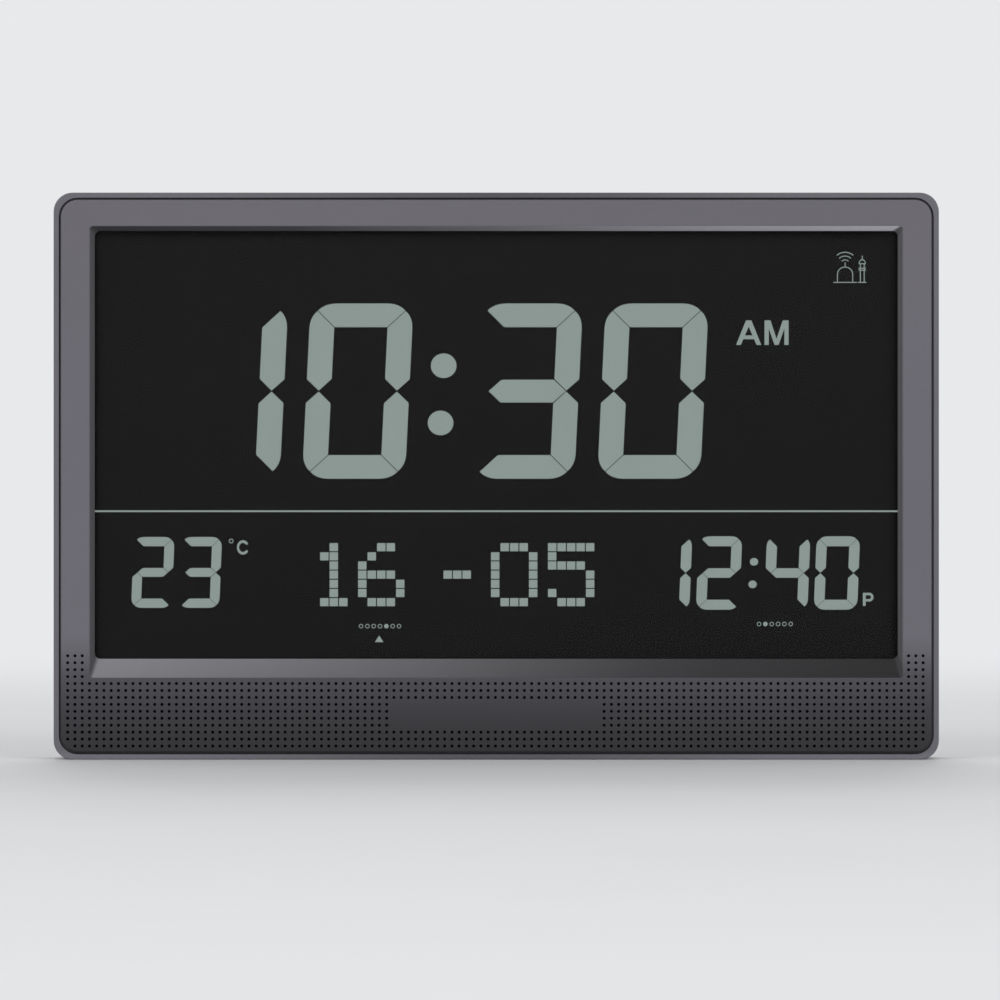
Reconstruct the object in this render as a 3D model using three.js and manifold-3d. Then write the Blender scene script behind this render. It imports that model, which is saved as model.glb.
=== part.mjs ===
// Azan clock for a shelf or a wall: a wide lit display over a perforated chin with two speakers,
// and on the back the keys, a volume wheel, a battery compartment and a folding stand leg.
// All lengths are in millimetres. Seen from the front, X runs right, Z up and Y from front to back.
// The origin is the middle of the footprint, on the surface that the clock stands on.
// A depth is always counted from the bezel's front face towards the back.

import * as THREE from 'three';
import { mergeVertices } from 'three/addons/utils/BufferGeometryUtils.js';
import Module from 'manifold-3d';

const wasm = await Module();
wasm.setup();

// Fits that many pieces share
const SEAT = 0.3; // gap left between two pieces that rest on each other
const OVERRUN = 1; // how far a cutting shape runs past what it cuts

// Case
const CASE_WIDTH = 370;
const CASE_HEIGHT = 237;
const CASE_CORNER = 8;
const CASE_WALL = 2.3;
const BACK_WALL = 2.5;
const BACK_CHAMFER = 2;
const RIM_SETBACK = 1; // the rear housing's rim lies this far behind the bezel's face

// Front bezel
const BEZEL_GAP = 0.8; // shadow gap between the bezel and the rear housing's rim
const BEZEL_WALL = 2.5;
const BEZEL_CORNER = 7;
const SKIRT_WALL = 1.8;
const SKIRT_LENGTH = 9;
const WINDOW_SIDE_MARGIN = 15;
const WINDOW_TOP_MARGIN = 13.7;
const CHIN_HEIGHT = 34.5;
const BEVEL_WIDTH = 2.3;
const LEDGE_WIDTH = 7.8; // the bevel under the display is wider than the others
const BEVEL_DEPTH = 3.2;
const WINDOW_CORNER = 3;
const DISPLAY_CORNER = 2.4;
const LIP_WALL = 0.6;
const FENCE_WALL = 1.5; // wall that holds the lens and the display sheets in place

// Display stack, from the lens to the holder
const LENS_OVERLAP = 2.6;
const LENS_THICKNESS = 1.5;
const MASK_THICKNESS = 0.4;
const GLASS_THICKNESS = 2.2;
const GUIDE_THICKNESS = 3;
const SHEET_THICKNESS = 0.4;
const HOLDER_THICKNESS = 2;
const HOLDER_RIB = 1;
const LED_BOARD_HEIGHT = 2.2;
const LED_LENGTH = 3;
const LED_HEIGHT = 1;
const LED_PITCH = 14;
const HOOK_WIDTH = 8;
const HOOK_THICKNESS = 1.6;
const HOOK_REACH = 1.2;
const HOOK_NOSE = 1.2;
const HOOK_RISE_SHARE = 0.25; // of the fence's height, from its middle
const HOOK_SPREAD_SHARE = 0.33; // of the fence's width, from its middle

// Figures on the display
const FIGURE_SLANT = THREE.MathUtils.degToRad(2);
const FIGURE_GAP = 0.4;
const TIME = {
  figure: { width: 43.1, height: 73.5, stroke: 10, corner: 10.6 },
  pitch: 52.5,
  colonRoom: 18.1, // what the colon adds to the pitch between the hours and the minutes
  dotRadius: 5.3,
  dotRise: 11.9,
  placeShares: [-0.067, 0.625],
};
const ALARM = {
  figure: { width: 18.2, height: 31, stroke: 4.4, corner: 4.5 },
  pitch: 20.8,
  colonRoom: 8.4,
  dotRadius: 1.8,
  dotRise: 4.8,
  placeShares: [0.341, 0.199],
};
const TEMPERATURE_FIGURE = { width: 17, height: 29.9, stroke: 4.1, corner: 4.2 };
const TEMPERATURE_PITCH = 20;
const DOT_SIZE = 3.5;
const DOT_PITCH_X = 4;
const DOT_PITCH_Z = 3.84;
const DIVIDER_HEIGHT = 0.8;

// Places on the display, as shares of its width from the middle and of its height from the bottom
const TEMPERATURE_PLACE_SHARES = [-0.395, 0.201];
const DATE_PLACE_SHARES = [-0.051, 0.197];
const DIVIDER_SHARE = 0.345;

// Speakers and the holes in front of them
const HOLE_PITCH_X = 3.03;
const HOLE_PITCH_Z = 2.9;
const HOLE_WIDTH = 1.2;
const HOLE_LOWEST = 5.7; // from the foot of the clock to the middle of the lowest row
const SPEAKER_DIAMETER = 28;
const SPEAKER_DEPTH = 9.5;
const SPEAKER_INSET = 65; // from the side of the clock to the middle of a speaker
const SPEAKER_RING_WALL = 1.4;
const SPEAKER_RING_LENGTH = 5;
const CLOTH_THICKNESS = 0.4;

// Screws that hold the two halves of the case together
const CASE_SCREW_LOWEST = 48;
const CASE_SCREW_TOP_MARGIN = 23;
const CASE_SCREW_RISE_SHARES = [0, 0.494, 1]; // from the lowest screw to the highest
const CASE_SCREW = { radius: 1.5, length: 12, headRadius: 2.8, headHeight: 1.8 };
const CASE_BOSS_RADIUS = 3.25;
const CASE_BOSS_WALL = 1.2;
const CASE_BOSS_FLOOR = 4; // from the boss's front end to the seat of the screw's head
const CASE_POST_LENGTH = 13.5;
const SCREW_SLOT_WIDTH = 0.9;
const SCREW_SLOT_DEPTH = 0.8;
const SLOT_SHARE = 0.62; // length of the cross recess as a share of the head's diameter

// Main board
const BOARD_THICKNESS = 1.6;
const MAIN_BOARD_WIDTH = 130;
const MAIN_BOARD_HEIGHT = 74;
const MAIN_BOARD_MIDDLE_X = 24;
const MAIN_BOARD_DROP = 1.95; // below half way between the fence's foot and the key board
const STANDOFF_LENGTH = 4;
const STANDOFF_RADIUS = 3;
const BOARD_HOLE_INSET = 5;
const BOARD_SCREW = { radius: 1.3, length: 5, headRadius: 2.5, headHeight: 1.6 };
const MAIN_CHIP = { width: 14, height: 14, thickness: 1.6 };
const SOUND_CHIP = { width: 5.4, height: 8, thickness: 1.5 };
const CRYSTAL = { width: 11, height: 4.6, thickness: 3.4 };
const CAPACITOR_RADIUS = 4;
const CAPACITOR_LENGTH = 9;
const RIBBON_WIDTH = 36;
const KEY_RIBBON_WIDTH = 12;
const RIBBON_THICKNESS = 0.3;
const RIBBON_BEND = 1.6; // how far a ribbon stays off what it passes round
const SOCKET_HEIGHT = 4;
const SOCKET_THICKNESS = 2;
const SOCKET_WALL = 1;
const WIRE_RADIUS = 0.7;
const WIRE_EXIT = 4; // straight run where a wire leaves what it is soldered to
const WIRE_ROOM = 2.7; // from the back of the display holder to a wire that crosses it
const SPEAKER_WIRE_SWING = 22;

// Room between the display holder and the battery compartment, which sets the depth of the case
const INNER_ROOM = 1.6;

// Battery compartment
const CELL_DIAMETER = 14.5;
const CELL_LENGTH = 50.5;
const CELL_NUB_RADIUS = 2.75;
const CELL_NUB_HEIGHT = 1.2;
const CELL_COUNT = 2;
const SPRING_LENGTH = 5;
const SPRING_WIRE_RADIUS = 0.4;
const SPRING_TURNS = 3;
const SPRING_WIDE_RADIUS = 4;
const SPRING_NARROW_RADIUS = 2.4;
const CONTACT_WIDTH = 11;
const CONTACT_THICKNESS = 0.5;
const POCKET_WALL = 2;
const BATTERY_SIDE_MARGIN = 81; // from the side of the clock to the middle between the cells
const BATTERY_BOTTOM = 82;
const DOOR_THICKNESS = 2;
const DOOR_LEDGE = 3;
const DOOR_GAP = 0.4;
const DOOR_BARREL_RADIUS = 1.5;
const DOOR_PIN_RADIUS = 0.9;
const DOOR_PIN_LENGTH = 1.4;
const DOOR_GROOVE_WIDTH = 18;
const GROOVE_HEIGHT = 1.4;
const GROOVE_DEPTH = 0.6;
const GROOVE_PITCH = 3;
const GROOVE_COUNT = 3;

// Stand leg
const LEG_WIDTH = 60;
const LEG_LENGTH = 110; // from the hinge to the lower end
const LEG_THICKNESS = 4;
const LEG_BOTTOM = 6;
const LEG_CORNER = 6;
const LEG_BARREL_RADIUS = 2.6;
const LEG_PIN_RADIUS = 1.4;
const LEG_GAP = 0.5;
const LEG_POCKET_DEPTH = 7;
const LEG_GROOVE_WIDTH = 34;
const PAD_WIDTH = 40;
const PAD_HEIGHT = 3;
const PAD_THICKNESS = 1.8;
const PAD_SHOW = 1.2;
const NOTCH_WIDTH = 11; // finger notch on each side of the leg
const NOTCH_HEIGHT = 22;
const NOTCH_RISE = 22; // from the lower end of the leg to the middle of a notch

// Keys and the volume wheel
const PANEL_DEPTH = 2.4;
const PANEL_SIDE_MARGIN = 31;
const PANEL_WIDTH = 124;
const PANEL_HEIGHT = 19;
const PANEL_TOP_MARGIN = 33.5;
const PANEL_CORNER = 4;
const KEY_NAMES = ['mode', 'set', 'up', 'down', 'alarm', 'light'];
const KEY_FIRST_INSET = 12; // from the side of the sunk panel
const KEY_PITCH = 15;
const KEY_RADIUS = 4;
const KEY_STANDS = 1.6; // how far a key stands out of its sunk panel
const KEY_FLANGE = 1.2;
const KEY_FLANGE_THICKNESS = 1.2;
const KEY_TRAVEL_ROOM = 0.9;
const SWITCH_SIZE = 6;
const SWITCH_HEIGHT = 4.3;
const SWITCH_STEM_RADIUS = 1.7;
const SWITCH_STEM_HEIGHT = 0.8;
const KEY_BOARD_HEIGHT = 20;
const KEY_BOARD_INSET = 4;
const KEY_PEG_RADIUS = 1.4;
const KEY_PEG_SHOULDER = 2.6;
const KEY_PEG_INSET = 3;
const WHEEL_RADIUS = 7;
const WHEEL_THICKNESS = 3;
const WHEEL_TEETH = 24;
const WHEEL_TOOTH_DEPTH = 0.5;
const WHEEL_SHAFT_RADIUS = 1.5;
const WHEEL_SHAFT_LENGTH = 5;
const POT_WIDTH = 9;
const POT_HEIGHT = 10;

// Power inlet in the right side wall
const JACK_Z = 62;
const JACK_LENGTH = 14;
const JACK_WIDTH = 9;
const JACK_HEIGHT = 11;
const JACK_NOSE_RADIUS = 3.9;
const JACK_BORE_RADIUS = 3.1;
const JACK_BORE_DEPTH = 10;
const JACK_PIN_RADIUS = 1;
const CRADLE_WALL = 1.4;

// Keyholes for hanging on a wall, and the air slots by the temperature sensor
const KEYHOLE_SPREAD = 110;
const KEYHOLE_TOP_MARGIN = 23;
const KEYHOLE_HEAD_RADIUS = 4.2;
const KEYHOLE_SLOT_WIDTH = 4.6;
const KEYHOLE_SLOT_LENGTH = 8;
const VENT_COUNT = 5;
const VENT_PITCH = 4.2;
const VENT_WIDTH = 24;
const VENT_HEIGHT = 1.8;
const VENT_SIDE_MARGIN = 45; // from the side of the clock to the middle of the slots
const VENT_BOTTOM = 20;
const SENSOR_RADIUS = 1.5;
const SENSOR_LENGTH = 5;

// How finely round shapes are divided
const CORNER_STEPS = 5;
const POST_SIDES = 8;
const ROUND_SIDES = 16;
const WIRE_SIDES = 6;
const WIRE_STEPS = 12;
const SPRING_SIDES = 5;
const SPRING_STEPS_PER_TURN = 8;

// Depths that follow from the stack
const SKIRT_END = BEZEL_WALL + SKIRT_LENGTH;
const LIP_DEPTH = BEVEL_DEPTH + LIP_WALL;
const LENS_FRONT = LIP_DEPTH + SEAT;
const MASK_FRONT = LENS_FRONT + LENS_THICKNESS + SEAT;
const GLASS_FRONT = MASK_FRONT + MASK_THICKNESS + SEAT;
const GUIDE_FRONT = GLASS_FRONT + GLASS_THICKNESS + SEAT;
const GUIDE_BACK = GUIDE_FRONT + GUIDE_THICKNESS;
const REFLECTOR_FRONT = GUIDE_BACK + SEAT;
const HOLDER_FRONT = REFLECTOR_FRONT + SHEET_THICKNESS + SEAT;
const HOLDER_BACK = HOLDER_FRONT + HOLDER_THICKNESS;
const FENCE_END = HOLDER_FRONT - SEAT;
const POCKET_FLOOR = HOLDER_BACK + INNER_ROOM + POCKET_WALL;
const CELL_AXIS_DEPTH = POCKET_FLOOR + SEAT + CELL_DIAMETER / 2;
const DOOR_FRONT = CELL_AXIS_DEPTH + CELL_DIAMETER / 2 + SEAT;
const CASE_DEPTH = DOOR_FRONT + DOOR_THICKNESS + SEAT;
const BACK_INSIDE = CASE_DEPTH - BACK_WALL;
const MAIN_BOARD_FRONT = HOLDER_BACK + STANDOFF_LENGTH + SEAT;
const MAIN_BOARD_BACK = MAIN_BOARD_FRONT + BOARD_THICKNESS;
const PART_FRONT = MAIN_BOARD_BACK + SEAT;
const WIRE_DEPTH = HOLDER_BACK + WIRE_ROOM;
const SPEAKER_FRONT = BEZEL_WALL + 2 * SEAT + CLOTH_THICKNESS;
const CASE_BOSS_FRONT = CASE_POST_LENGTH + SEAT;
const CASE_SCREW_SEAT = CASE_BOSS_FRONT + CASE_BOSS_FLOOR;
const BOARD_HOLE_RADIUS = BOARD_SCREW.radius + SEAT;

// Heights and places that follow
const PANEL_MIDDLE_Z = CASE_HEIGHT - PANEL_TOP_MARGIN - PANEL_HEIGHT / 2;
const KEYHOLE_Z = CASE_HEIGHT - KEYHOLE_TOP_MARGIN;
const SPEAKER_SPREAD = CASE_WIDTH / 2 - SPEAKER_INSET;
const PANEL_LEFT = CASE_WIDTH / 2 - PANEL_SIDE_MARGIN - PANEL_WIDTH;
const KEY_FIRST_X = PANEL_LEFT + KEY_FIRST_INSET;
const VENT_MIDDLE_X = CASE_WIDTH / 2 - VENT_SIDE_MARGIN;
const BATTERY_MIDDLE_X = BATTERY_SIDE_MARGIN - CASE_WIDTH / 2;
const SKIRT_INSET = CASE_WALL + BEZEL_GAP + SKIRT_WALL;
const SPEAKER_Z = SKIRT_INSET + SEAT + SPEAKER_DIAMETER / 2;
const LEG_HINGE_Z = LEG_BOTTOM + LEG_LENGTH;
const LEG_BACK = CASE_DEPTH - SEAT;
const LEG_HINGE_DEPTH = LEG_BACK - LEG_BARREL_RADIUS;
const PANEL_FACE = CASE_DEPTH - PANEL_DEPTH;
const PANEL_INSIDE = PANEL_FACE - BACK_WALL;
const KEY_BACK = PANEL_FACE + KEY_STANDS;
const KEY_FRONT = PANEL_INSIDE - SEAT - KEY_FLANGE_THICKNESS;
const KEY_BOARD_BACK = KEY_FRONT - KEY_TRAVEL_ROOM - SWITCH_HEIGHT;
const KEY_BOARD_FRONT = KEY_BOARD_BACK - BOARD_THICKNESS;
const WHEEL_DEPTH = KEY_BACK - WHEEL_RADIUS;

// Flat outlines: x to the right and y up, as the clock is seen from the front

const CASE = { left: -CASE_WIDTH / 2, right: CASE_WIDTH / 2, bottom: 0, top: CASE_HEIGHT };

function grow(rect, by) {
  return { left: rect.left - by, right: rect.right + by, bottom: rect.bottom - by, top: rect.top + by };
}

function rectAround(middleX, middleZ, width, height) {
  return {
    left: middleX - width / 2,
    right: middleX + width / 2,
    bottom: middleZ - height / 2,
    top: middleZ + height / 2,
  };
}

function roundedRect(rect, radius) {
  const shape = new THREE.Shape();
  shape.absarc(rect.right - radius, rect.bottom + radius, radius, -Math.PI / 2, 0);
  shape.absarc(rect.right - radius, rect.top - radius, radius, 0, Math.PI / 2);
  shape.absarc(rect.left + radius, rect.top - radius, radius, Math.PI / 2, Math.PI);
  shape.absarc(rect.left + radius, rect.bottom + radius, radius, Math.PI, Math.PI * 1.5);
  return shape;
}

const BEZEL = grow(CASE, -(CASE_WALL + BEZEL_GAP));
const WINDOW = {
  left: CASE.left + WINDOW_SIDE_MARGIN,
  right: CASE.right - WINDOW_SIDE_MARGIN,
  bottom: CHIN_HEIGHT,
  top: CASE.top - WINDOW_TOP_MARGIN,
};
const DISPLAY = {
  left: WINDOW.left + BEVEL_WIDTH,
  right: WINDOW.right - BEVEL_WIDTH,
  bottom: WINDOW.bottom + LEDGE_WIDTH,
  top: WINDOW.top - BEVEL_WIDTH,
};
const LENS = grow(DISPLAY, LENS_OVERLAP);
const FENCE_INSIDE = grow(LENS, SEAT);
const FENCE = grow(FENCE_INSIDE, FENCE_WALL);

// Half way between the fence and the skirt, where the case screws go
const CASE_SCREW_X = (FENCE.right + CASE.right - SKIRT_INSET) / 2;

const CELL_WIDTH = CELL_COUNT * CELL_DIAMETER + (CELL_COUNT + 1) * SEAT;
const BATTERY_HEIGHT = CELL_LENGTH + SPRING_LENGTH + 4 * SEAT + 2 * CONTACT_THICKNESS;
const BATTERY = {
  left: BATTERY_MIDDLE_X - CELL_WIDTH / 2,
  right: BATTERY_MIDDLE_X + CELL_WIDTH / 2,
  bottom: BATTERY_BOTTOM,
  top: BATTERY_BOTTOM + BATTERY_HEIGHT,
};
const DOOR = grow(BATTERY, DOOR_LEDGE);
const DOOR_HINGE_Z = DOOR.bottom + DOOR_BARREL_RADIUS;
const DOOR_BACK = DOOR_FRONT + DOOR_THICKNESS;
const DOOR_HINGE_DEPTH = DOOR_BACK - DOOR_BARREL_RADIUS;

const LEG = { left: -LEG_WIDTH / 2, right: LEG_WIDTH / 2, bottom: LEG_BOTTOM, top: LEG_HINGE_Z };
const LEG_POCKET = {
  left: LEG.left - LEG_GAP,
  right: LEG.right + LEG_GAP,
  bottom: LEG.bottom - PAD_SHOW - LEG_GAP,
  top: LEG.top + LEG_BARREL_RADIUS + LEG_GAP,
};
const FINGER_NOTCHES = rectAround(
  0,
  LEG.bottom + NOTCH_RISE,
  LEG_POCKET.right - LEG_POCKET.left + 2 * NOTCH_WIDTH,
  NOTCH_HEIGHT,
);
const PANEL = {
  left: PANEL_LEFT,
  right: PANEL_LEFT + PANEL_WIDTH,
  bottom: PANEL_MIDDLE_Z - PANEL_HEIGHT / 2,
  top: PANEL_MIDDLE_Z + PANEL_HEIGHT / 2,
};
const KEY_LAST_X = KEY_FIRST_X + (KEY_NAMES.length - 1) * KEY_PITCH;
const WHEEL_X = KEY_LAST_X + KEY_RADIUS + KEY_FLANGE + KEY_PITCH / 2 + POT_WIDTH;
const KEY_BOARD = {
  left: PANEL.left + KEY_BOARD_INSET - KEY_PEG_INSET,
  right: WHEEL_X - WHEEL_THICKNESS / 2 - SEAT,
  bottom: PANEL_MIDDLE_Z - KEY_BOARD_HEIGHT / 2,
  top: PANEL_MIDDLE_Z + KEY_BOARD_HEIGHT / 2,
};
const MAIN_BOARD_MIDDLE_Z = (FENCE.bottom + KEY_BOARD.bottom) / 2 - MAIN_BOARD_DROP;
const MAIN_BOARD = rectAround(MAIN_BOARD_MIDDLE_X, MAIN_BOARD_MIDDLE_Z, MAIN_BOARD_WIDTH, MAIN_BOARD_HEIGHT);

const RIBBON = rectAround(MAIN_BOARD_MIDDLE_X, 0, RIBBON_WIDTH, 0);
const KEY_RIBBON = rectAround(MAIN_BOARD.right - BOARD_HOLE_INSET - KEY_RIBBON_WIDTH, 0, KEY_RIBBON_WIDTH, 0);

function yAt(depth) {
  return depth - CASE_DEPTH / 2;
}

// Solids

function solidOf(geometry) {
  const bare = geometry.clone();
  bare.deleteAttribute('normal');
  bare.deleteAttribute('uv');
  const merged = mergeVertices(bare);
  const corners = [];
  for (let i = 0; i < merged.index.count; i += 3) {
    const [a, b, c] = [merged.index.getX(i), merged.index.getX(i + 1), merged.index.getX(i + 2)];
    if (a !== b && b !== c && c !== a) corners.push(a, b, c);
  }
  return new wasm.Manifold(new wasm.Mesh({
    numProp: 3,
    vertProperties: new Float32Array(merged.attributes.position.array),
    triVerts: new Uint32Array(corners),
  }));
}

function geometryOf(solid) {
  const mesh = solid.getMesh();
  const geometry = new THREE.BufferGeometry();
  const corners = new Float32Array(mesh.vertProperties);
  geometry.setAttribute('position', new THREE.BufferAttribute(corners, mesh.numProp));
  geometry.setIndex(new THREE.BufferAttribute(new Uint32Array(mesh.triVerts), 1));
  geometry.computeVertexNormals();
  return geometry;
}

function join(first, ...others) {
  return others.reduce((whole, piece) => whole.add(piece), first);
}

function cut(solid, ...tools) {
  return tools.reduce((rest, tool) => rest.subtract(tool), solid);
}

function box(rect, depths) {
  const size = [rect.right - rect.left, depths[1] - depths[0], rect.top - rect.bottom];
  const geometry = new THREE.BoxGeometry(...size);
  const middleX = (rect.left + rect.right) / 2;
  const middleY = (yAt(depths[0]) + yAt(depths[1])) / 2;
  geometry.translate(middleX, middleY, (rect.bottom + rect.top) / 2);
  return solidOf(geometry);
}

function plate(shape, depths) {
  const options = { depth: depths[1] - depths[0], bevelEnabled: false, curveSegments: CORNER_STEPS };
  const geometry = new THREE.ExtrudeGeometry(shape, options);
  geometry.rotateX(Math.PI / 2);
  geometry.translate(0, yAt(depths[1]), 0);
  return solidOf(geometry);
}

// A round bar from front to back; a cylinder geometry already stands along Y
function post(x, z, radius, depths, sides = POST_SIDES) {
  const geometry = new THREE.CylinderGeometry(radius, radius, depths[1] - depths[0], sides);
  geometry.translate(x, (yAt(depths[0]) + yAt(depths[1])) / 2, z);
  return solidOf(geometry);
}

// A round bar from left to right
function crossBar(lefts, depth, z, radius, sides = POST_SIDES) {
  const geometry = new THREE.CylinderGeometry(radius, radius, lefts[1] - lefts[0], sides);
  geometry.rotateZ(Math.PI / 2);
  geometry.translate((lefts[0] + lefts[1]) / 2, yAt(depth), z);
  return solidOf(geometry);
}

// A body that changes its outline from one depth to the next
function loft(sections) {
  const outlines = sections.map((section) => section.shape.getPoints(CORNER_STEPS).slice(1));
  const count = outlines[0].length;
  const positions = outlines.flatMap((points, i) => (
    points.flatMap((point) => [point.x, yAt(sections[i].depth), point.y])
  ));
  const faces = [];
  for (let ring = 0; ring + 1 < sections.length; ring++) {
    for (let i = 0; i < count; i++) {
      const near = ring * count + i;
      const next = ring * count + ((i + 1) % count);
      faces.push(near, near + count, next, next, near + count, next + count);
    }
  }
  const lastRing = (sections.length - 1) * count;
  THREE.ShapeUtils.triangulateShape(outlines[0], []).forEach(([a, b, c]) => faces.push(a, b, c));
  THREE.ShapeUtils.triangulateShape(outlines.at(-1), []).forEach(([a, b, c]) => {
    faces.push(lastRing + c, lastRing + b, lastRing + a);
  });
  const geometry = new THREE.BufferGeometry();
  geometry.setAttribute('position', new THREE.Float32BufferAttribute(positions, 3));
  geometry.setIndex(faces);
  return solidOf(geometry);
}

// A turned body about a front-to-back axis; a profile point is [radius, distance behind its front]
function turned(profile, sides = ROUND_SIDES) {
  const points = profile.map(([radius, behind]) => new THREE.Vector2(radius, behind));
  return solidOf(new THREE.LatheGeometry(points, sides));
}

// A round wire along a smooth curve through the points
function wireAlong(points, radius, steps, sides) {
  const section = new THREE.Shape(Array.from({ length: sides }, (_, i) => {
    const angle = (i / sides) * Math.PI * 2;
    return new THREE.Vector2(radius * Math.cos(angle), radius * Math.sin(angle));
  }));
  const path = new THREE.CatmullRomCurve3(points);
  return solidOf(new THREE.ExtrudeGeometry(section, { steps, extrudePath: path }));
}

// An inner wire through places given as x, depth and z
function tube(places) {
  const points = places.map(([x, depth, z]) => new THREE.Vector3(x, yAt(depth), z));
  return wireAlong(points, WIRE_RADIUS, WIRE_STEPS, WIRE_SIDES);
}

// The clock and its materials

const clock = new THREE.Group();

function finish(color, roughness, metalness = 0) {
  return new THREE.MeshStandardMaterial({ color, roughness, metalness });
}

const casePlastic = () => finish(0x6b6a70, 0.55);
const backPlastic = () => finish(0x5f5e64, 0.6);
const keyPlastic = () => finish(0x2e2e31, 0.5);
const blackPlastic = () => finish(0x1b1b1d, 0.5);
const circuitBoard = () => finish(0x1f5a34, 0.45);
const nickel = () => finish(0xb9bcc0, 0.3, 1);
const steel = () => finish(0xa7a9ac, 0.35, 1);

function addMesh(name, solid, material, place = [0, 0, 0]) {
  const mesh = new THREE.Mesh(geometryOf(solid), material);
  mesh.name = name;
  mesh.position.set(...place);
  clock.add(mesh);
}

// Places that several pieces share

const SIDES = [['left', -1], ['right', 1]];

const caseScrewRise = CASE_HEIGHT - CASE_SCREW_TOP_MARGIN - CASE_SCREW_LOWEST;
const caseScrewPlaces = SIDES.flatMap(([, side]) => CASE_SCREW_RISE_SHARES.map((share) => (
  [side * CASE_SCREW_X, CASE_SCREW_LOWEST + share * caseScrewRise]
)));

const boardScrewPlaces = [
  [MAIN_BOARD.left + BOARD_HOLE_INSET, MAIN_BOARD.bottom + BOARD_HOLE_INSET],
  [MAIN_BOARD.right - BOARD_HOLE_INSET, MAIN_BOARD.bottom + BOARD_HOLE_INSET],
  [MAIN_BOARD.left + BOARD_HOLE_INSET, MAIN_BOARD.top - BOARD_HOLE_INSET],
  [MAIN_BOARD.right - BOARD_HOLE_INSET, MAIN_BOARD.top - BOARD_HOLE_INSET],
];

const keyPegPlaces = [KEY_BOARD.left + KEY_PEG_INSET, KEY_BOARD.right - KEY_PEG_INSET - POT_WIDTH]
  .flatMap((x) => [KEY_BOARD.bottom + KEY_PEG_INSET, KEY_BOARD.top - KEY_PEG_INSET].map((z) => [x, z]));

const keyPlaces = KEY_NAMES.map((name, i) => [name, KEY_FIRST_X + i * KEY_PITCH]);

// Front bezel

function grilleHoles(speakerX) {
  const reach = SPEAKER_DIAMETER / 2 - SPEAKER_RING_WALL - HOLE_WIDTH;
  const holes = [];
  const firstColumn = Math.ceil((speakerX - reach) / HOLE_PITCH_X);
  const lastColumn = Math.floor((speakerX + reach) / HOLE_PITCH_X);
  const lastRow = Math.floor((SPEAKER_Z + reach - HOLE_LOWEST) / HOLE_PITCH_Z);
  for (let column = firstColumn; column <= lastColumn; column++) {
    for (let row = 0; row <= lastRow; row++) {
      const x = column * HOLE_PITCH_X;
      const z = HOLE_LOWEST + row * HOLE_PITCH_Z;
      if (Math.hypot(x - speakerX, z - SPEAKER_Z) > reach) continue;
      holes.push(box(rectAround(x, z, HOLE_WIDTH, HOLE_WIDTH), [-OVERRUN, BEZEL_WALL + OVERRUN]));
    }
  }
  return holes;
}

// A springy hook beside the fence, whose nose holds the display holder down
function holderHook(x, z, acrossX, acrossZ) {
  const size = acrossX ? [HOOK_THICKNESS, HOOK_WIDTH] : [HOOK_WIDTH, HOOK_THICKNESS];
  const slabAt = (out, depths) => box(rectAround(x + acrossX * out, z + acrossZ * out, ...size), depths);
  const noseFront = HOLDER_BACK + SEAT;
  const armOut = SEAT + HOOK_THICKNESS / 2;
  return join(
    slabAt(0, [BEZEL_WALL / 2, FENCE_END]),
    slabAt(armOut, [BEZEL_WALL / 2, noseFront + HOOK_NOSE]),
    slabAt(armOut - HOOK_REACH, [noseFront, noseFront + HOOK_NOSE]),
  );
}

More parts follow.
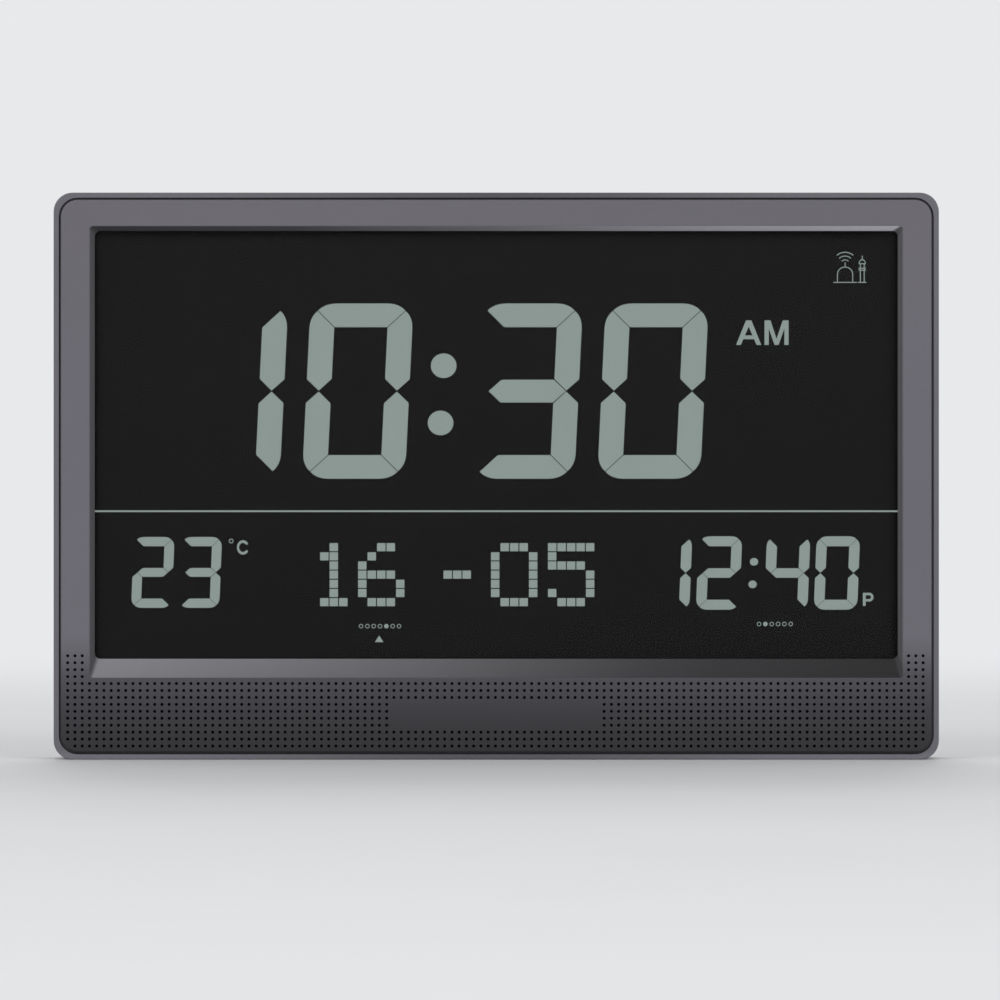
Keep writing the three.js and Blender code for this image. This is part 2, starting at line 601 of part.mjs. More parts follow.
function makeFrontBezel() {
  const outside = plate(roundedRect(BEZEL, BEZEL_CORNER), [0, SKIRT_END]);
  const inner = roundedRect(grow(BEZEL, -SKIRT_WALL), BEZEL_CORNER - SKIRT_WALL);
  const shell = cut(outside, plate(inner, [BEZEL_WALL, SKIRT_END + OVERRUN]));
  const fence = box(FENCE, [BEZEL_WALL / 2, FENCE_END]);
  const postDepths = [BEZEL_WALL / 2, CASE_POST_LENGTH];
  const posts = caseScrewPlaces.map(([x, z]) => post(x, z, CASE_BOSS_RADIUS, postDepths));
  const screwHoles = caseScrewPlaces.map(([x, z]) => (
    post(x, z, CASE_SCREW.radius + SEAT, [BEZEL_WALL + SEAT, CASE_POST_LENGTH + OVERRUN])
  ));
  const rings = [];
  const ringHoles = [];
  for (const [, side] of SIDES) {
    const x = side * SPEAKER_SPREAD;
    const insideRadius = SPEAKER_DIAMETER / 2 + SEAT;
    const ringEnd = BEZEL_WALL + SPEAKER_RING_LENGTH;
    rings.push(post(x, SPEAKER_Z, insideRadius + SPEAKER_RING_WALL, [BEZEL_WALL / 2, ringEnd], ROUND_SIDES));
    ringHoles.push(post(x, SPEAKER_Z, insideRadius, [BEZEL_WALL, SKIRT_END + OVERRUN], ROUND_SIDES));
  }
  const middleFence = (FENCE.bottom + FENCE.top) / 2;
  const hookRise = (FENCE.top - FENCE.bottom) * HOOK_RISE_SHARE;
  const hookSpread = (FENCE.right - FENCE.left) * HOOK_SPREAD_SHARE;
  const hooks = [-1, 1].flatMap((way) => [
    holderHook(FENCE.left, middleFence + way * hookRise, -1, 0),
    holderHook(FENCE.right, middleFence + way * hookRise, 1, 0),
    holderHook(way * hookSpread, FENCE.top, 0, 1),
    holderHook(way * hookSpread, FENCE.bottom, 0, -1),
  ]);
  const windowFunnel = loft([
    { shape: roundedRect(WINDOW, WINDOW_CORNER), depth: -OVERRUN },
    { shape: roundedRect(WINDOW, WINDOW_CORNER), depth: 0 },
    { shape: roundedRect(DISPLAY, DISPLAY_CORNER), depth: BEVEL_DEPTH },
    { shape: roundedRect(DISPLAY, DISPLAY_CORNER), depth: LIP_DEPTH + OVERRUN },
  ]);
  const lensPocket = box(FENCE_INSIDE, [LIP_DEPTH, FENCE_END + OVERRUN]);
  const sound = SIDES.flatMap(([, side]) => grilleHoles(side * SPEAKER_SPREAD));
  const whole = join(shell, fence, ...posts, ...rings);
  const ribbonNotch = box({
    ...grow(RIBBON, SEAT),
    bottom: FENCE.bottom - OVERRUN,
    top: LENS.bottom,
  }, [GLASS_FRONT - SEAT, FENCE_END + OVERRUN]);
  const opened = cut(whole, windowFunnel, lensPocket, ribbonNotch, ...screwHoles, ...ringHoles, ...sound);
  return join(opened, ...hooks);
}

// Rear housing

function pocketBlocks() {
  const doorSeat = grow(DOOR, DOOR_GAP + POCKET_WALL);
  const legBlock = grow(LEG_POCKET, POCKET_WALL);
  const legFloor = CASE_DEPTH - LEG_POCKET_DEPTH - POCKET_WALL;
  const blockEnd = BACK_INSIDE + BACK_WALL / 2;
  return [
    box(grow(BATTERY, POCKET_WALL), [POCKET_FLOOR - POCKET_WALL, blockEnd]),
    box(doorSeat, [DOOR_HINGE_DEPTH - DOOR_BARREL_RADIUS - DOOR_GAP - POCKET_WALL, blockEnd]),
    box(legBlock, [legFloor, blockEnd]),
    box(grow(FINGER_NOTCHES, POCKET_WALL), [legFloor, blockEnd]),
    box(grow(PANEL, POCKET_WALL), [PANEL_INSIDE, blockEnd]),
  ];
}

function pocketCuts() {
  const barrelTrough = {
    left: DOOR.left - DOOR_GAP,
    right: DOOR.right + DOOR_GAP,
    bottom: DOOR.bottom - DOOR_GAP,
    top: DOOR_HINGE_Z + DOOR_BARREL_RADIUS + DOOR_GAP,
  };
  const doorPinHoles = [DOOR.left - DOOR_PIN_LENGTH - SEAT, DOOR.right + DOOR_PIN_LENGTH + SEAT];
  const legPinReach = LEG_POCKET.right + POCKET_WALL - SEAT;
  const past = CASE_DEPTH + OVERRUN;
  return [
    box(BATTERY, [POCKET_FLOOR, past]),
    box(grow(DOOR, DOOR_GAP), [DOOR_FRONT - SEAT, past]),
    box(barrelTrough, [DOOR_HINGE_DEPTH - DOOR_BARREL_RADIUS - DOOR_GAP, past]),
    crossBar(doorPinHoles, DOOR_HINGE_DEPTH, DOOR_HINGE_Z, DOOR_PIN_RADIUS + SEAT),
    box(LEG_POCKET, [CASE_DEPTH - LEG_POCKET_DEPTH, past]),
    box(FINGER_NOTCHES, [CASE_DEPTH - LEG_POCKET_DEPTH, past]),
    crossBar([-legPinReach, legPinReach], LEG_HINGE_DEPTH, LEG_HINGE_Z, LEG_PIN_RADIUS + SEAT),
    plate(roundedRect(PANEL, PANEL_CORNER), [PANEL_FACE, past]),
  ];
}

function keyholeCut(x) {
  const slot = {
    left: x - KEYHOLE_SLOT_WIDTH / 2,
    right: x + KEYHOLE_SLOT_WIDTH / 2,
    bottom: KEYHOLE_Z,
    top: KEYHOLE_Z + KEYHOLE_SLOT_LENGTH,
  };
  const depths = [BACK_INSIDE - OVERRUN, CASE_DEPTH + OVERRUN];
  return join(
    post(x, KEYHOLE_Z, KEYHOLE_HEAD_RADIUS, depths),
    box(slot, depths),
    post(x, slot.top, KEYHOLE_SLOT_WIDTH / 2, depths),
  );
}

function keyPanelCuts() {
  const depths = [PANEL_INSIDE - OVERRUN, PANEL_FACE + OVERRUN];
  const holes = keyPlaces.map(([, x]) => post(x, PANEL_MIDDLE_Z, KEY_RADIUS + SEAT, depths, ROUND_SIDES));
  const reach = WHEEL_RADIUS + SEAT;
  const aboveAxis = PANEL_INSIDE - WHEEL_DEPTH;
  const slotHalf = Math.sqrt(reach * reach - aboveAxis * aboveAxis) + SEAT;
  const slot = rectAround(WHEEL_X, PANEL_MIDDLE_Z, WHEEL_THICKNESS + 2 * SEAT, 2 * slotHalf);
  return [...holes, box(slot, depths)];
}

function ventCuts() {
  return Array.from({ length: VENT_COUNT }, (_, i) => (
    box(
      rectAround(VENT_MIDDLE_X, VENT_BOTTOM + i * VENT_PITCH, VENT_WIDTH, VENT_HEIGHT),
      [BACK_INSIDE - OVERRUN, CASE_DEPTH + OVERRUN],
    )
  ));
}

const JACK_DEPTH = (HOLDER_BACK + BACK_INSIDE) / 2;
const JACK_BACK_X = CASE.right - CASE_WALL - SEAT;

function jackCradle() {
  const floor = JACK_DEPTH - JACK_WIDTH / 2;
  return [-1, 1].map((way) => {
    const middle = JACK_Z + way * (JACK_HEIGHT / 2 + SEAT + CRADLE_WALL / 2);
    const rib = rectAround(JACK_BACK_X - JACK_LENGTH / 2, middle, JACK_LENGTH, CRADLE_WALL);
    return box(rib, [floor, BACK_INSIDE + BACK_WALL / 2]);
  });
}

function makeRearHousing() {
  const outside = loft([
    { shape: roundedRect(CASE, CASE_CORNER), depth: RIM_SETBACK },
    { shape: roundedRect(CASE, CASE_CORNER), depth: CASE_DEPTH - BACK_CHAMFER },
    { shape: roundedRect(grow(CASE, -BACK_CHAMFER), CASE_CORNER - BACK_CHAMFER), depth: CASE_DEPTH },
  ]);
  const insideShape = roundedRect(grow(CASE, -CASE_WALL), CASE_CORNER - CASE_WALL);
  const tub = cut(outside, plate(insideShape, [RIM_SETBACK - OVERRUN, BACK_INSIDE]));
  const bossEnd = BACK_INSIDE + BACK_WALL / 2;
  const headRoom = CASE_SCREW.headRadius + SEAT;
  const bosses = caseScrewPlaces.flatMap(([x, z]) => [
    post(x, z, CASE_BOSS_RADIUS, [CASE_BOSS_FRONT, bossEnd]),
    post(x, z, headRoom + CASE_BOSS_WALL, [CASE_SCREW_SEAT - CASE_BOSS_WALL, bossEnd]),
  ]);
  const screwHoles = caseScrewPlaces.flatMap(([x, z]) => [
    post(x, z, CASE_SCREW.radius + SEAT, [CASE_BOSS_FRONT - OVERRUN, CASE_DEPTH + OVERRUN]),
    post(x, z, headRoom, [CASE_SCREW_SEAT, CASE_DEPTH + OVERRUN]),
  ]);
  const shoulders = keyPegPlaces.flatMap(([x, z]) => [
    post(x, z, KEY_PEG_SHOULDER, [KEY_BOARD_BACK + SEAT, PANEL_INSIDE + BACK_WALL / 2]),
    post(x, z, KEY_PEG_RADIUS, [KEY_BOARD_FRONT - SEAT, PANEL_INSIDE + BACK_WALL / 2]),
  ]);
  const jackEnds = [JACK_BACK_X, CASE.right + OVERRUN];
  const jackHole = crossBar(jackEnds, JACK_DEPTH, JACK_Z, JACK_NOSE_RADIUS + SEAT, ROUND_SIDES);
  const whole = join(tub, ...pocketBlocks(), ...bosses, ...jackCradle());
  const keyholes = SIDES.map(([, side]) => keyholeCut(side * KEYHOLE_SPREAD));
  const cuts = [...pocketCuts(), ...screwHoles, ...keyholes, ...keyPanelCuts(), ...ventCuts(), jackHole];
  return join(cut(whole, ...cuts), ...shoulders);
}

// Figures cut through the display's black mask

// The seven strokes of a figure around its own middle, with mitred joints and rounded outer corners
function strokeOutlines({ width, height, stroke, corner }) {
  const [halfX, halfY, gap] = [width / 2, height / 2, FIGURE_GAP / 2];
  const arc = (turn) => [
    halfX - corner + corner * Math.sin(turn),
    halfY - corner + corner * Math.cos(turn),
  ];
  const [midX, midY] = arc(Math.PI / 4);
  const mirrorX = (points) => points.map(([x, y]) => [-x, y]);
  const mirrorY = (points) => points.map(([x, y]) => [x, -y]);
  const topRight = [[halfX - stroke - gap, halfY - stroke], [midX - gap, midY], arc(0)];
  const top = [...topRight, ...mirrorX(topRight).reverse()];
  const upperRight = [
    [halfX - stroke / 2, gap],
    [halfX, stroke / 2],
    arc(Math.PI / 2),
    [midX, midY - gap],
    [halfX - stroke, halfY - stroke - gap],
    [halfX - stroke, stroke / 2 + gap],
  ];
  const middleRight = [[halfX - stroke - gap, -stroke / 2 + gap], [halfX - stroke / 2 - gap, 0],
    [halfX - stroke - gap, stroke / 2 - gap]];
  return {
    a: top,
    b: upperRight,
    c: mirrorY(upperRight),
    d: mirrorY(top),
    e: mirrorX(mirrorY(upperRight)),
    f: mirrorX(upperRight),
    g: [...middleRight, ...mirrorX(middleRight).reverse()],
  };
}

const STROKES_OF = { 0: 'abcdef', 1: 'bc', 2: 'abged', 3: 'abgcd', 4: 'fgbc' };

const MASK_DEPTHS = [MASK_FRONT - OVERRUN, MASK_FRONT + MASK_THICKNESS + OVERRUN];

function slanted(rise) {
  return rise * Math.tan(FIGURE_SLANT);
}

function figureCuts(digit, figure, x, z) {
  const strokes = strokeOutlines(figure);
  return [...STROKES_OF[digit]].map((name) => {
    const points = strokes[name].map(([px, py]) => new THREE.Vector2(x + px + slanted(py), z + py));
    return plate(new THREE.Shape(points), MASK_DEPTHS);
  });
}

function placeOnDisplay([acrossShare, upShare]) {
  return [
    (DISPLAY.left + DISPLAY.right) / 2 + acrossShare * (DISPLAY.right - DISPLAY.left),
    DISPLAY.bottom + upShare * (DISPLAY.top - DISPLAY.bottom),
  ];
}

// Hours and minutes with a colon between them, around the middle of the group
function clockTimeCuts(digits, { figure, pitch, colonRoom, dotRadius, dotRise, placeShares }) {
  const [middleX, z] = placeOnDisplay(placeShares);
  const inner = (pitch + colonRoom) / 2;
  const offsets = [-inner - pitch, -inner, inner, inner + pitch];
  const figures = [...digits].flatMap((digit, i) => figureCuts(digit, figure, middleX + offsets[i], z));
  const dots = [-1, 1].map((way) => (
    post(middleX + slanted(way * dotRise), z + way * dotRise, dotRadius, MASK_DEPTHS, ROUND_SIDES)
  ));
  return [...figures, ...dots];
}

function temperatureCuts() {
  const [middleX, z] = placeOnDisplay(TEMPERATURE_PLACE_SHARES);
  return [
    ...figureCuts(2, TEMPERATURE_FIGURE, middleX - TEMPERATURE_PITCH / 2, z),
    ...figureCuts(3, TEMPERATURE_FIGURE, middleX + TEMPERATURE_PITCH / 2, z),
  ];
}

// Day and month in square dots, seven rows high: each figure's rows from the top, and its first column
const DOT_FIGURES = [
  { firstColumn: 0, rows: ['..#..', '.##..', '..#..', '..#..', '..#..', '..#..', '.###.'] },
  { firstColumn: 5, rows: ['..##.', '.#...', '#....', '####.', '#...#', '#...#', '.###.'] },
  { firstColumn: 13, rows: ['.....', '.....', '.....', '.###.', '.....', '.....', '.....'] },
  { firstColumn: 19, rows: ['.###.', '#...#', '#...#', '#...#', '#...#', '#...#', '.###.'] },
  { firstColumn: 25, rows: ['#####', '#....', '####.', '....#', '....#', '#...#', '.###.'] },
];
const DOT_COLUMNS = 30;

function dateCuts() {
  const [middleX, middleZ] = placeOnDisplay(DATE_PLACE_SHARES);
  const dots = [];
  for (const { firstColumn, rows } of DOT_FIGURES) {
    rows.forEach((row, down) => [...row].forEach((mark, across) => {
      if (mark !== '#') return;
      const x = middleX + (firstColumn + across - (DOT_COLUMNS - 1) / 2) * DOT_PITCH_X;
      const z = middleZ + ((rows.length - 1) / 2 - down) * DOT_PITCH_Z;
      dots.push(box(rectAround(x, z, DOT_SIZE, DOT_SIZE), MASK_DEPTHS));
    }));
  }
  return dots;
}

function makeSegmentMask() {
  const sheet = box(LENS, [MASK_FRONT, MASK_FRONT + MASK_THICKNESS]);
  const dividerZ = placeOnDisplay([0, DIVIDER_SHARE])[1];
  const divider = rectAround(0, dividerZ, DISPLAY.right - DISPLAY.left, DIVIDER_HEIGHT);
  return cut(
    sheet,
    box(divider, MASK_DEPTHS),
    ...clockTimeCuts('1030', TIME),
    ...clockTimeCuts('1240', ALARM),
    ...temperatureCuts(),
    ...dateCuts(),
  );
}

// Display stack behind the bezel

const GUIDE = { ...LENS, bottom: LENS.bottom + LED_BOARD_HEIGHT + LED_HEIGHT + SEAT };

function makeLedStrip() {
  const board = { ...LENS, top: LENS.bottom + LED_BOARD_HEIGHT };
  const depths = [GUIDE_FRONT, GUIDE_BACK];
  const count = Math.floor((LENS.right - LENS.left) / LED_PITCH);
  const leds = Array.from({ length: count }, (_, i) => {
    const x = (i - (count - 1) / 2) * LED_PITCH;
    const led = { ...rectAround(x, 0, LED_LENGTH, 0), bottom: LENS.bottom, top: board.top + LED_HEIGHT };
    return box(led, depths);
  });
  return join(box(board, depths), ...leds);
}

function makeDisplayHolder() {
  const panel = box(FENCE, [HOLDER_FRONT, HOLDER_BACK]);
  const inner = grow(MAIN_BOARD, BOARD_HOLE_INSET);
  const ribs = cut(
    box(grow(inner, HOLDER_RIB), [HOLDER_BACK - HOLDER_RIB, HOLDER_BACK + HOLDER_RIB]),
    box(inner, [HOLDER_BACK, HOLDER_BACK + HOLDER_RIB + OVERRUN]),
  );
  const standoffs = boardScrewPlaces.map(([x, z]) => (
    post(x, z, STANDOFF_RADIUS, [HOLDER_BACK - HOLDER_RIB, HOLDER_BACK + STANDOFF_LENGTH])
  ));
  const pilots = boardScrewPlaces.map(([x, z]) => (
    post(x, z, BOARD_HOLE_RADIUS, [HOLDER_BACK - SEAT, HOLDER_BACK + STANDOFF_LENGTH + OVERRUN])
  ));
  return cut(join(panel, ribs, ...standoffs), ...pilots);
}

// A flat body whose outline lies in the side view, stretched from left to right
function acrossBody(points, lefts) {
  const shape = new THREE.Shape(points.map(([depth, z]) => new THREE.Vector2(yAt(depth), z)));
  const geometry = new THREE.ExtrudeGeometry(shape, { depth: lefts[1] - lefts[0], bevelEnabled: false });
  geometry.rotateX(Math.PI / 2);
  geometry.rotateZ(Math.PI / 2);
  geometry.translate(lefts[0], 0, 0);
  return solidOf(geometry);
}

// Both edges of a thin strip that follows a line in the side view, with mitred bends
function stripOutline(line, thickness) {
  const points = line.map(([depth, z]) => new THREE.Vector2(depth, z));
  const edge = (side) => points.map((point, i) => {
    const before = points[Math.max(i - 1, 0)];
    const after = points[Math.min(i + 1, points.length - 1)];
    const inward = i > 0 ? point.clone().sub(before).normalize() : after.clone().sub(point).normalize();
    const outward = i < points.length - 1 ? after.clone().sub(point).normalize() : inward;
    const along = inward.clone().add(outward).normalize();
    const reach = (side * thickness) / 2 / along.dot(inward);
    return [point.x - along.y * reach, point.y + along.x * reach];
  });
  return [...edge(1), ...edge(-1).reverse()];
}

// The socket on the front of the main board that takes the display's ribbon
const SOCKET = {
  ...grow(RIBBON, SOCKET_WALL),
  bottom: MAIN_BOARD.bottom,
  top: MAIN_BOARD.bottom + SOCKET_HEIGHT,
};
const SOCKET_FRONT = MAIN_BOARD_FRONT - SOCKET_THICKNESS;

// The ribbon runs from the foot of the display glass round the holder's lower edge up to the main board
function makeDisplayRibbon() {
  const glassMiddle = GLASS_FRONT + GLASS_THICKNESS / 2;
  const under = FENCE.bottom - RIBBON_BEND;
  const behind = HOLDER_BACK + RIBBON_BEND;
  const line = [
    [glassMiddle, LENS.bottom - SEAT],
    [glassMiddle, under],
    [behind, under],
    [behind, SOCKET.bottom - SOCKET_HEIGHT],
    [SOCKET_FRONT + SOCKET_THICKNESS / 2, SOCKET.bottom - SOCKET_HEIGHT / 2],
    [SOCKET_FRONT + SOCKET_THICKNESS / 2, SOCKET.bottom - SEAT],
  ];
  return acrossBody(stripOutline(line, RIBBON_THICKNESS), [RIBBON.left, RIBBON.right]);
}

function makeKeyRibbon() {
  const boardMiddle = MAIN_BOARD_FRONT + BOARD_THICKNESS / 2;
  const keyMiddle = KEY_BOARD_FRONT + BOARD_THICKNESS / 2;
  const line = [
    [boardMiddle, MAIN_BOARD.top + SEAT],
    [boardMiddle, MAIN_BOARD.top + WIRE_EXIT],
    [keyMiddle, KEY_BOARD.bottom - WIRE_EXIT],
    [keyMiddle, KEY_BOARD.bottom - SEAT],
  ];
  return acrossBody(stripOutline(line, RIBBON_THICKNESS), [KEY_RIBBON.left, KEY_RIBBON.right]);
}

// Boards and what is soldered to them

function makeMainBoard() {
  const board = box(MAIN_BOARD, [MAIN_BOARD_FRONT, MAIN_BOARD_BACK]);
  const socket = box(SOCKET, [SOCKET_FRONT, MAIN_BOARD_FRONT + BOARD_THICKNESS / 2]);
  const depths = [MAIN_BOARD_FRONT - OVERRUN, MAIN_BOARD_BACK + OVERRUN];
  return cut(join(board, socket), ...boardScrewPlaces.map(([x, z]) => post(x, z, BOARD_HOLE_RADIUS, depths)));
}

// Where the middle of each part sits on the main board, as shares of the board's size
const BOARD_PLACE_SHARES = {
  mainChip: [0.5, 0.55],
  soundChip: [0.24, 0.45],
  crystal: [0.3, 0.72],
  capacitor: [0.84, 0.42],
};

function onBoard([acrossShare, upShare]) {
  return [
    MAIN_BOARD.left + acrossShare * MAIN_BOARD_WIDTH,
    MAIN_BOARD.bottom + upShare * MAIN_BOARD_HEIGHT,
  ];
}

function boardPart({ width, height, thickness }, placeShares) {
  const rect = rectAround(...onBoard(placeShares), width, height);
  return box(rect, [PART_FRONT, PART_FRONT + thickness]);
}

function makeCapacitor() {
  const [x, z] = onBoard(BOARD_PLACE_SHARES.capacitor);
  return post(x, z, CAPACITOR_RADIUS, [PART_FRONT, PART_FRONT + CAPACITOR_LENGTH], ROUND_SIDES);
}

function makeKeyBoard() {
  const board = box(KEY_BOARD, [KEY_BOARD_FRONT, KEY_BOARD_BACK]);
  const switchTop = KEY_BOARD_BACK + SWITCH_HEIGHT;
  const caseDepths = [KEY_BOARD_FRONT, switchTop - SWITCH_STEM_HEIGHT];
  const switches = keyPlaces.flatMap(([, x]) => [
    box(rectAround(x, PANEL_MIDDLE_Z, SWITCH_SIZE, SWITCH_SIZE), caseDepths),
    post(x, PANEL_MIDDLE_Z, SWITCH_STEM_RADIUS, [KEY_BOARD_FRONT, switchTop]),
  ]);
  const pegHoles = keyPegPlaces.map(([x, z]) => (
    post(x, z, KEY_PEG_RADIUS + SEAT, [KEY_BOARD_FRONT - OVERRUN, KEY_BOARD_BACK + OVERRUN])
  ));
  return cut(join(board, ...switches), ...pegHoles);
}

// Keys and the volume wheel

function makeKey(x) {
  const flangeDepths = [KEY_FRONT, KEY_FRONT + KEY_FLANGE_THICKNESS];
  return join(
    post(x, PANEL_MIDDLE_Z, KEY_RADIUS, [KEY_FRONT, KEY_BACK], ROUND_SIDES),
    post(x, PANEL_MIDDLE_Z, KEY_RADIUS + KEY_FLANGE, flangeDepths, ROUND_SIDES),
  );
}

const WHEEL_SHAFT_LEFT = WHEEL_X - WHEEL_THICKNESS / 2 - WHEEL_SHAFT_LENGTH;

function makeVolumeWheel() {
  const outline = Array.from({ length: WHEEL_TEETH * 2 }, (_, i) => {
    const radius = i % 2 ? WHEEL_RADIUS : WHEEL_RADIUS - WHEEL_TOOTH_DEPTH;
    const angle = (i / WHEEL_TEETH) * Math.PI;
    return [WHEEL_DEPTH + radius * Math.cos(angle), PANEL_MIDDLE_Z + radius * Math.sin(angle)];
  });
  const disc = acrossBody(outline, [WHEEL_X - WHEEL_THICKNESS / 2, WHEEL_X + WHEEL_THICKNESS / 2]);
  return join(disc, crossBar([WHEEL_SHAFT_LEFT, WHEEL_X], WHEEL_DEPTH, PANEL_MIDDLE_Z, WHEEL_SHAFT_RADIUS));
}

function makeVolumePot() {
  const right = KEY_BOARD.right;
  const rect = rectAround(right - POT_WIDTH / 2, PANEL_MIDDLE_Z, POT_WIDTH, POT_HEIGHT);
  const boreRadius = WHEEL_SHAFT_RADIUS + SEAT;
  const body = box(rect, [KEY_BOARD_BACK + SEAT, PANEL_INSIDE - SEAT]);
  const bore = crossBar([WHEEL_SHAFT_LEFT - SEAT, right + OVERRUN], WHEEL_DEPTH, PANEL_MIDDLE_Z, boreRadius);
  return cut(body, bore);
}

// Speakers: profiles as shares of the speaker's radius and depth

const FRAME_SHARES = [
  [0.9, 0], [1, 0], [1, 0.13], [0.92, 0.17], [0.62, 0.6],
  [0.3, 0.6], [0.3, 0.52], [0.58, 0.52], [0.87, 0.1], [0.9, 0],
];
const CONE_SHARES = [
  [0, 0.17], [0.16, 0.2], [0.28, 0.32], [0.7, 0.11], [0.76, 0.05], [0.84, 0.05],
  [0.84, 0.09], [0.77, 0.09], [0.71, 0.15], [0.28, 0.37], [0.15, 0.25], [0, 0.22],
];
const MAGNET_SHARES = [[0, 0.45], [0.25, 0.45], [0.25, 0.64], [0.6, 0.64], [0.6, 1], [0, 1]];
const BASKET_FLOOR_SHARE = 0.6;
const TERMINAL_SHARE = 0.68;

function speakerPiece(shares) {
  return turned(shares.map(([out, back]) => [(out * SPEAKER_DIAMETER) / 2, back * SPEAKER_DEPTH]));
}

function speakerWire(side, endX) {
  const out = (TERMINAL_SHARE * SPEAKER_DIAMETER) / 2 / Math.SQRT2;
  const [x, z] = [side * (SPEAKER_SPREAD - out), SPEAKER_Z + out];
  const boardMiddle = MAIN_BOARD_FRONT + BOARD_THICKNESS / 2;
  return tube([
    [x, SPEAKER_FRONT + BASKET_FLOOR_SHARE * SPEAKER_DEPTH + SEAT, z],
    [x, SPEAKER_FRONT + SPEAKER_DEPTH + SEAT, z],
    [x - side * SPEAKER_WIRE_SWING, WIRE_DEPTH, FENCE.bottom - WIRE_EXIT],
    [(x + endX) / 2, WIRE_DEPTH, (FENCE.bottom + MAIN_BOARD.bottom) / 2],
    [endX, boardMiddle, MAIN_BOARD.bottom - WIRE_EXIT],
    [endX, boardMiddle, MAIN_BOARD.bottom - SEAT],
  ]);
}

// Wires and the temperature sensor

function sideWire(start, boardSide, z) {
  const edge = boardSide < 0 ? MAIN_BOARD.left : MAIN_BOARD.right;
  const boardMiddle = MAIN_BOARD_FRONT + BOARD_THICKNESS / 2;
  return tube([
    start,
    [start[0] - boardSide * WIRE_EXIT, start[1], start[2]],
    [edge + boardSide * WIRE_EXIT, boardMiddle, z],
    [edge + boardSide * SEAT, boardMiddle, z],
  ]);
}

function makeTemperatureSensor() {
  const depth = BACK_INSIDE - SEAT - SENSOR_RADIUS;
  const z = VENT_BOTTOM + ((VENT_COUNT - 1) * VENT_PITCH) / 2;
  const left = VENT_MIDDLE_X - SENSOR_LENGTH;
  const lead = sideWire([left + SENSOR_LENGTH / 2, depth, z], 1, MAIN_BOARD.bottom + 2 * BOARD_HOLE_INSET);
  return join(crossBar([left, VENT_MIDDLE_X], depth, z, SENSOR_RADIUS), lead);
}

// Power inlet

function makePowerInlet() {
  const body = rectAround(JACK_BACK_X - JACK_LENGTH / 2, JACK_Z, JACK_LENGTH, JACK_HEIGHT);
  const mouth = CASE.right - SEAT;
  const boreEnd = mouth - JACK_BORE_DEPTH;
  const sleeve = join(
    box(body, [JACK_DEPTH - JACK_WIDTH / 2, JACK_DEPTH + JACK_WIDTH / 2]),
    crossBar([JACK_BACK_X - JACK_LENGTH / 2, mouth], JACK_DEPTH, JACK_Z, JACK_NOSE_RADIUS, ROUND_SIDES),
  );
  const bore = crossBar([boreEnd, mouth + OVERRUN], JACK_DEPTH, JACK_Z, JACK_BORE_RADIUS, ROUND_SIDES);
  const pin = crossBar([boreEnd - OVERRUN, mouth - OVERRUN], JACK_DEPTH, JACK_Z, JACK_PIN_RADIUS);
  return join(cut(sleeve, bore), pin);
}

// Battery compartment: everything of one cell stands around the middle of its own height

const CELL_FOOT = -BATTERY_HEIGHT / 2 + 2 * SEAT + CONTACT_THICKNESS + SPRING_LENGTH;

function uprightTurned(profile, sides) {
  const points = profile.map(([radius, height]) => new THREE.Vector2(radius, height));
  const geometry = new THREE.LatheGeometry(points, sides);
  geometry.rotateX(Math.PI / 2);
  return solidOf(geometry);
}

function makeCell() {
  const top = CELL_FOOT + CELL_LENGTH;
  const radius = CELL_DIAMETER / 2;
  return uprightTurned([
    [0, CELL_FOOT],
    [radius, CELL_FOOT],
    [radius, top - CELL_NUB_HEIGHT],
    [CELL_NUB_RADIUS, top - CELL_NUB_HEIGHT],
    [CELL_NUB_RADIUS, top],
    [0, top],
  ], ROUND_SIDES);
}

function contactSheet(bottom) {
  const geometry = new THREE.BoxGeometry(CONTACT_WIDTH, CONTACT_WIDTH, CONTACT_THICKNESS);
  geometry.translate(0, 0, bottom + CONTACT_THICKNESS / 2);
  return solidOf(geometry);
}

function makeCellSpring() {
  const foot = -BATTERY_HEIGHT / 2 + SEAT;
  const bottom = foot + CONTACT_THICKNESS;
  const rise = SPRING_LENGTH - 2 * SPRING_WIRE_RADIUS;
  const count = SPRING_TURNS * SPRING_STEPS_PER_TURN;
  const points = Array.from({ length: count + 1 }, (_, i) => {
    const share = i / count;
    const angle = share * SPRING_TURNS * Math.PI * 2;
    const radius = THREE.MathUtils.lerp(SPRING_WIDE_RADIUS, SPRING_NARROW_RADIUS, share);
    return new THREE.Vector3(radius * Math.cos(angle), radius * Math.sin(angle), bottom + share * rise);
  });
  return join(contactSheet(foot), wireAlong(points, SPRING_WIRE_RADIUS, count, SPRING_SIDES));
}

function makeCellContact() {
  return contactSheet(BATTERY_HEIGHT / 2 - SEAT - CONTACT_THICKNESS);
}

function grooves(middleX, firstZ, width, face) {
  return Array.from({ length: GROOVE_COUNT }, (_, i) => {
    const rect = rectAround(middleX, firstZ + i * GROOVE_PITCH, width, GROOVE_HEIGHT);
    return box(rect, [face - GROOVE_DEPTH, face + OVERRUN]);
  });
}

function makeBatteryDoor() {
  const panel = box({ ...DOOR, bottom: DOOR_HINGE_Z }, [DOOR_FRONT, DOOR_BACK]);
  const hinge = [DOOR_HINGE_DEPTH, DOOR_HINGE_Z];
  const barrel = crossBar([DOOR.left, DOOR.right], ...hinge, DOOR_BARREL_RADIUS, ROUND_SIDES);
  const pinEnds = [DOOR.left - DOOR_PIN_LENGTH, DOOR.right + DOOR_PIN_LENGTH];
  const pins = crossBar(pinEnds, ...hinge, DOOR_PIN_RADIUS);
  const firstGroove = DOOR.top - GROOVE_COUNT * GROOVE_PITCH - GROOVE_HEIGHT;
  const grips = grooves(BATTERY_MIDDLE_X, firstGroove, DOOR_GROOVE_WIDTH, DOOR_BACK);
  return cut(join(panel, barrel, pins), ...grips);
}

// Stand leg

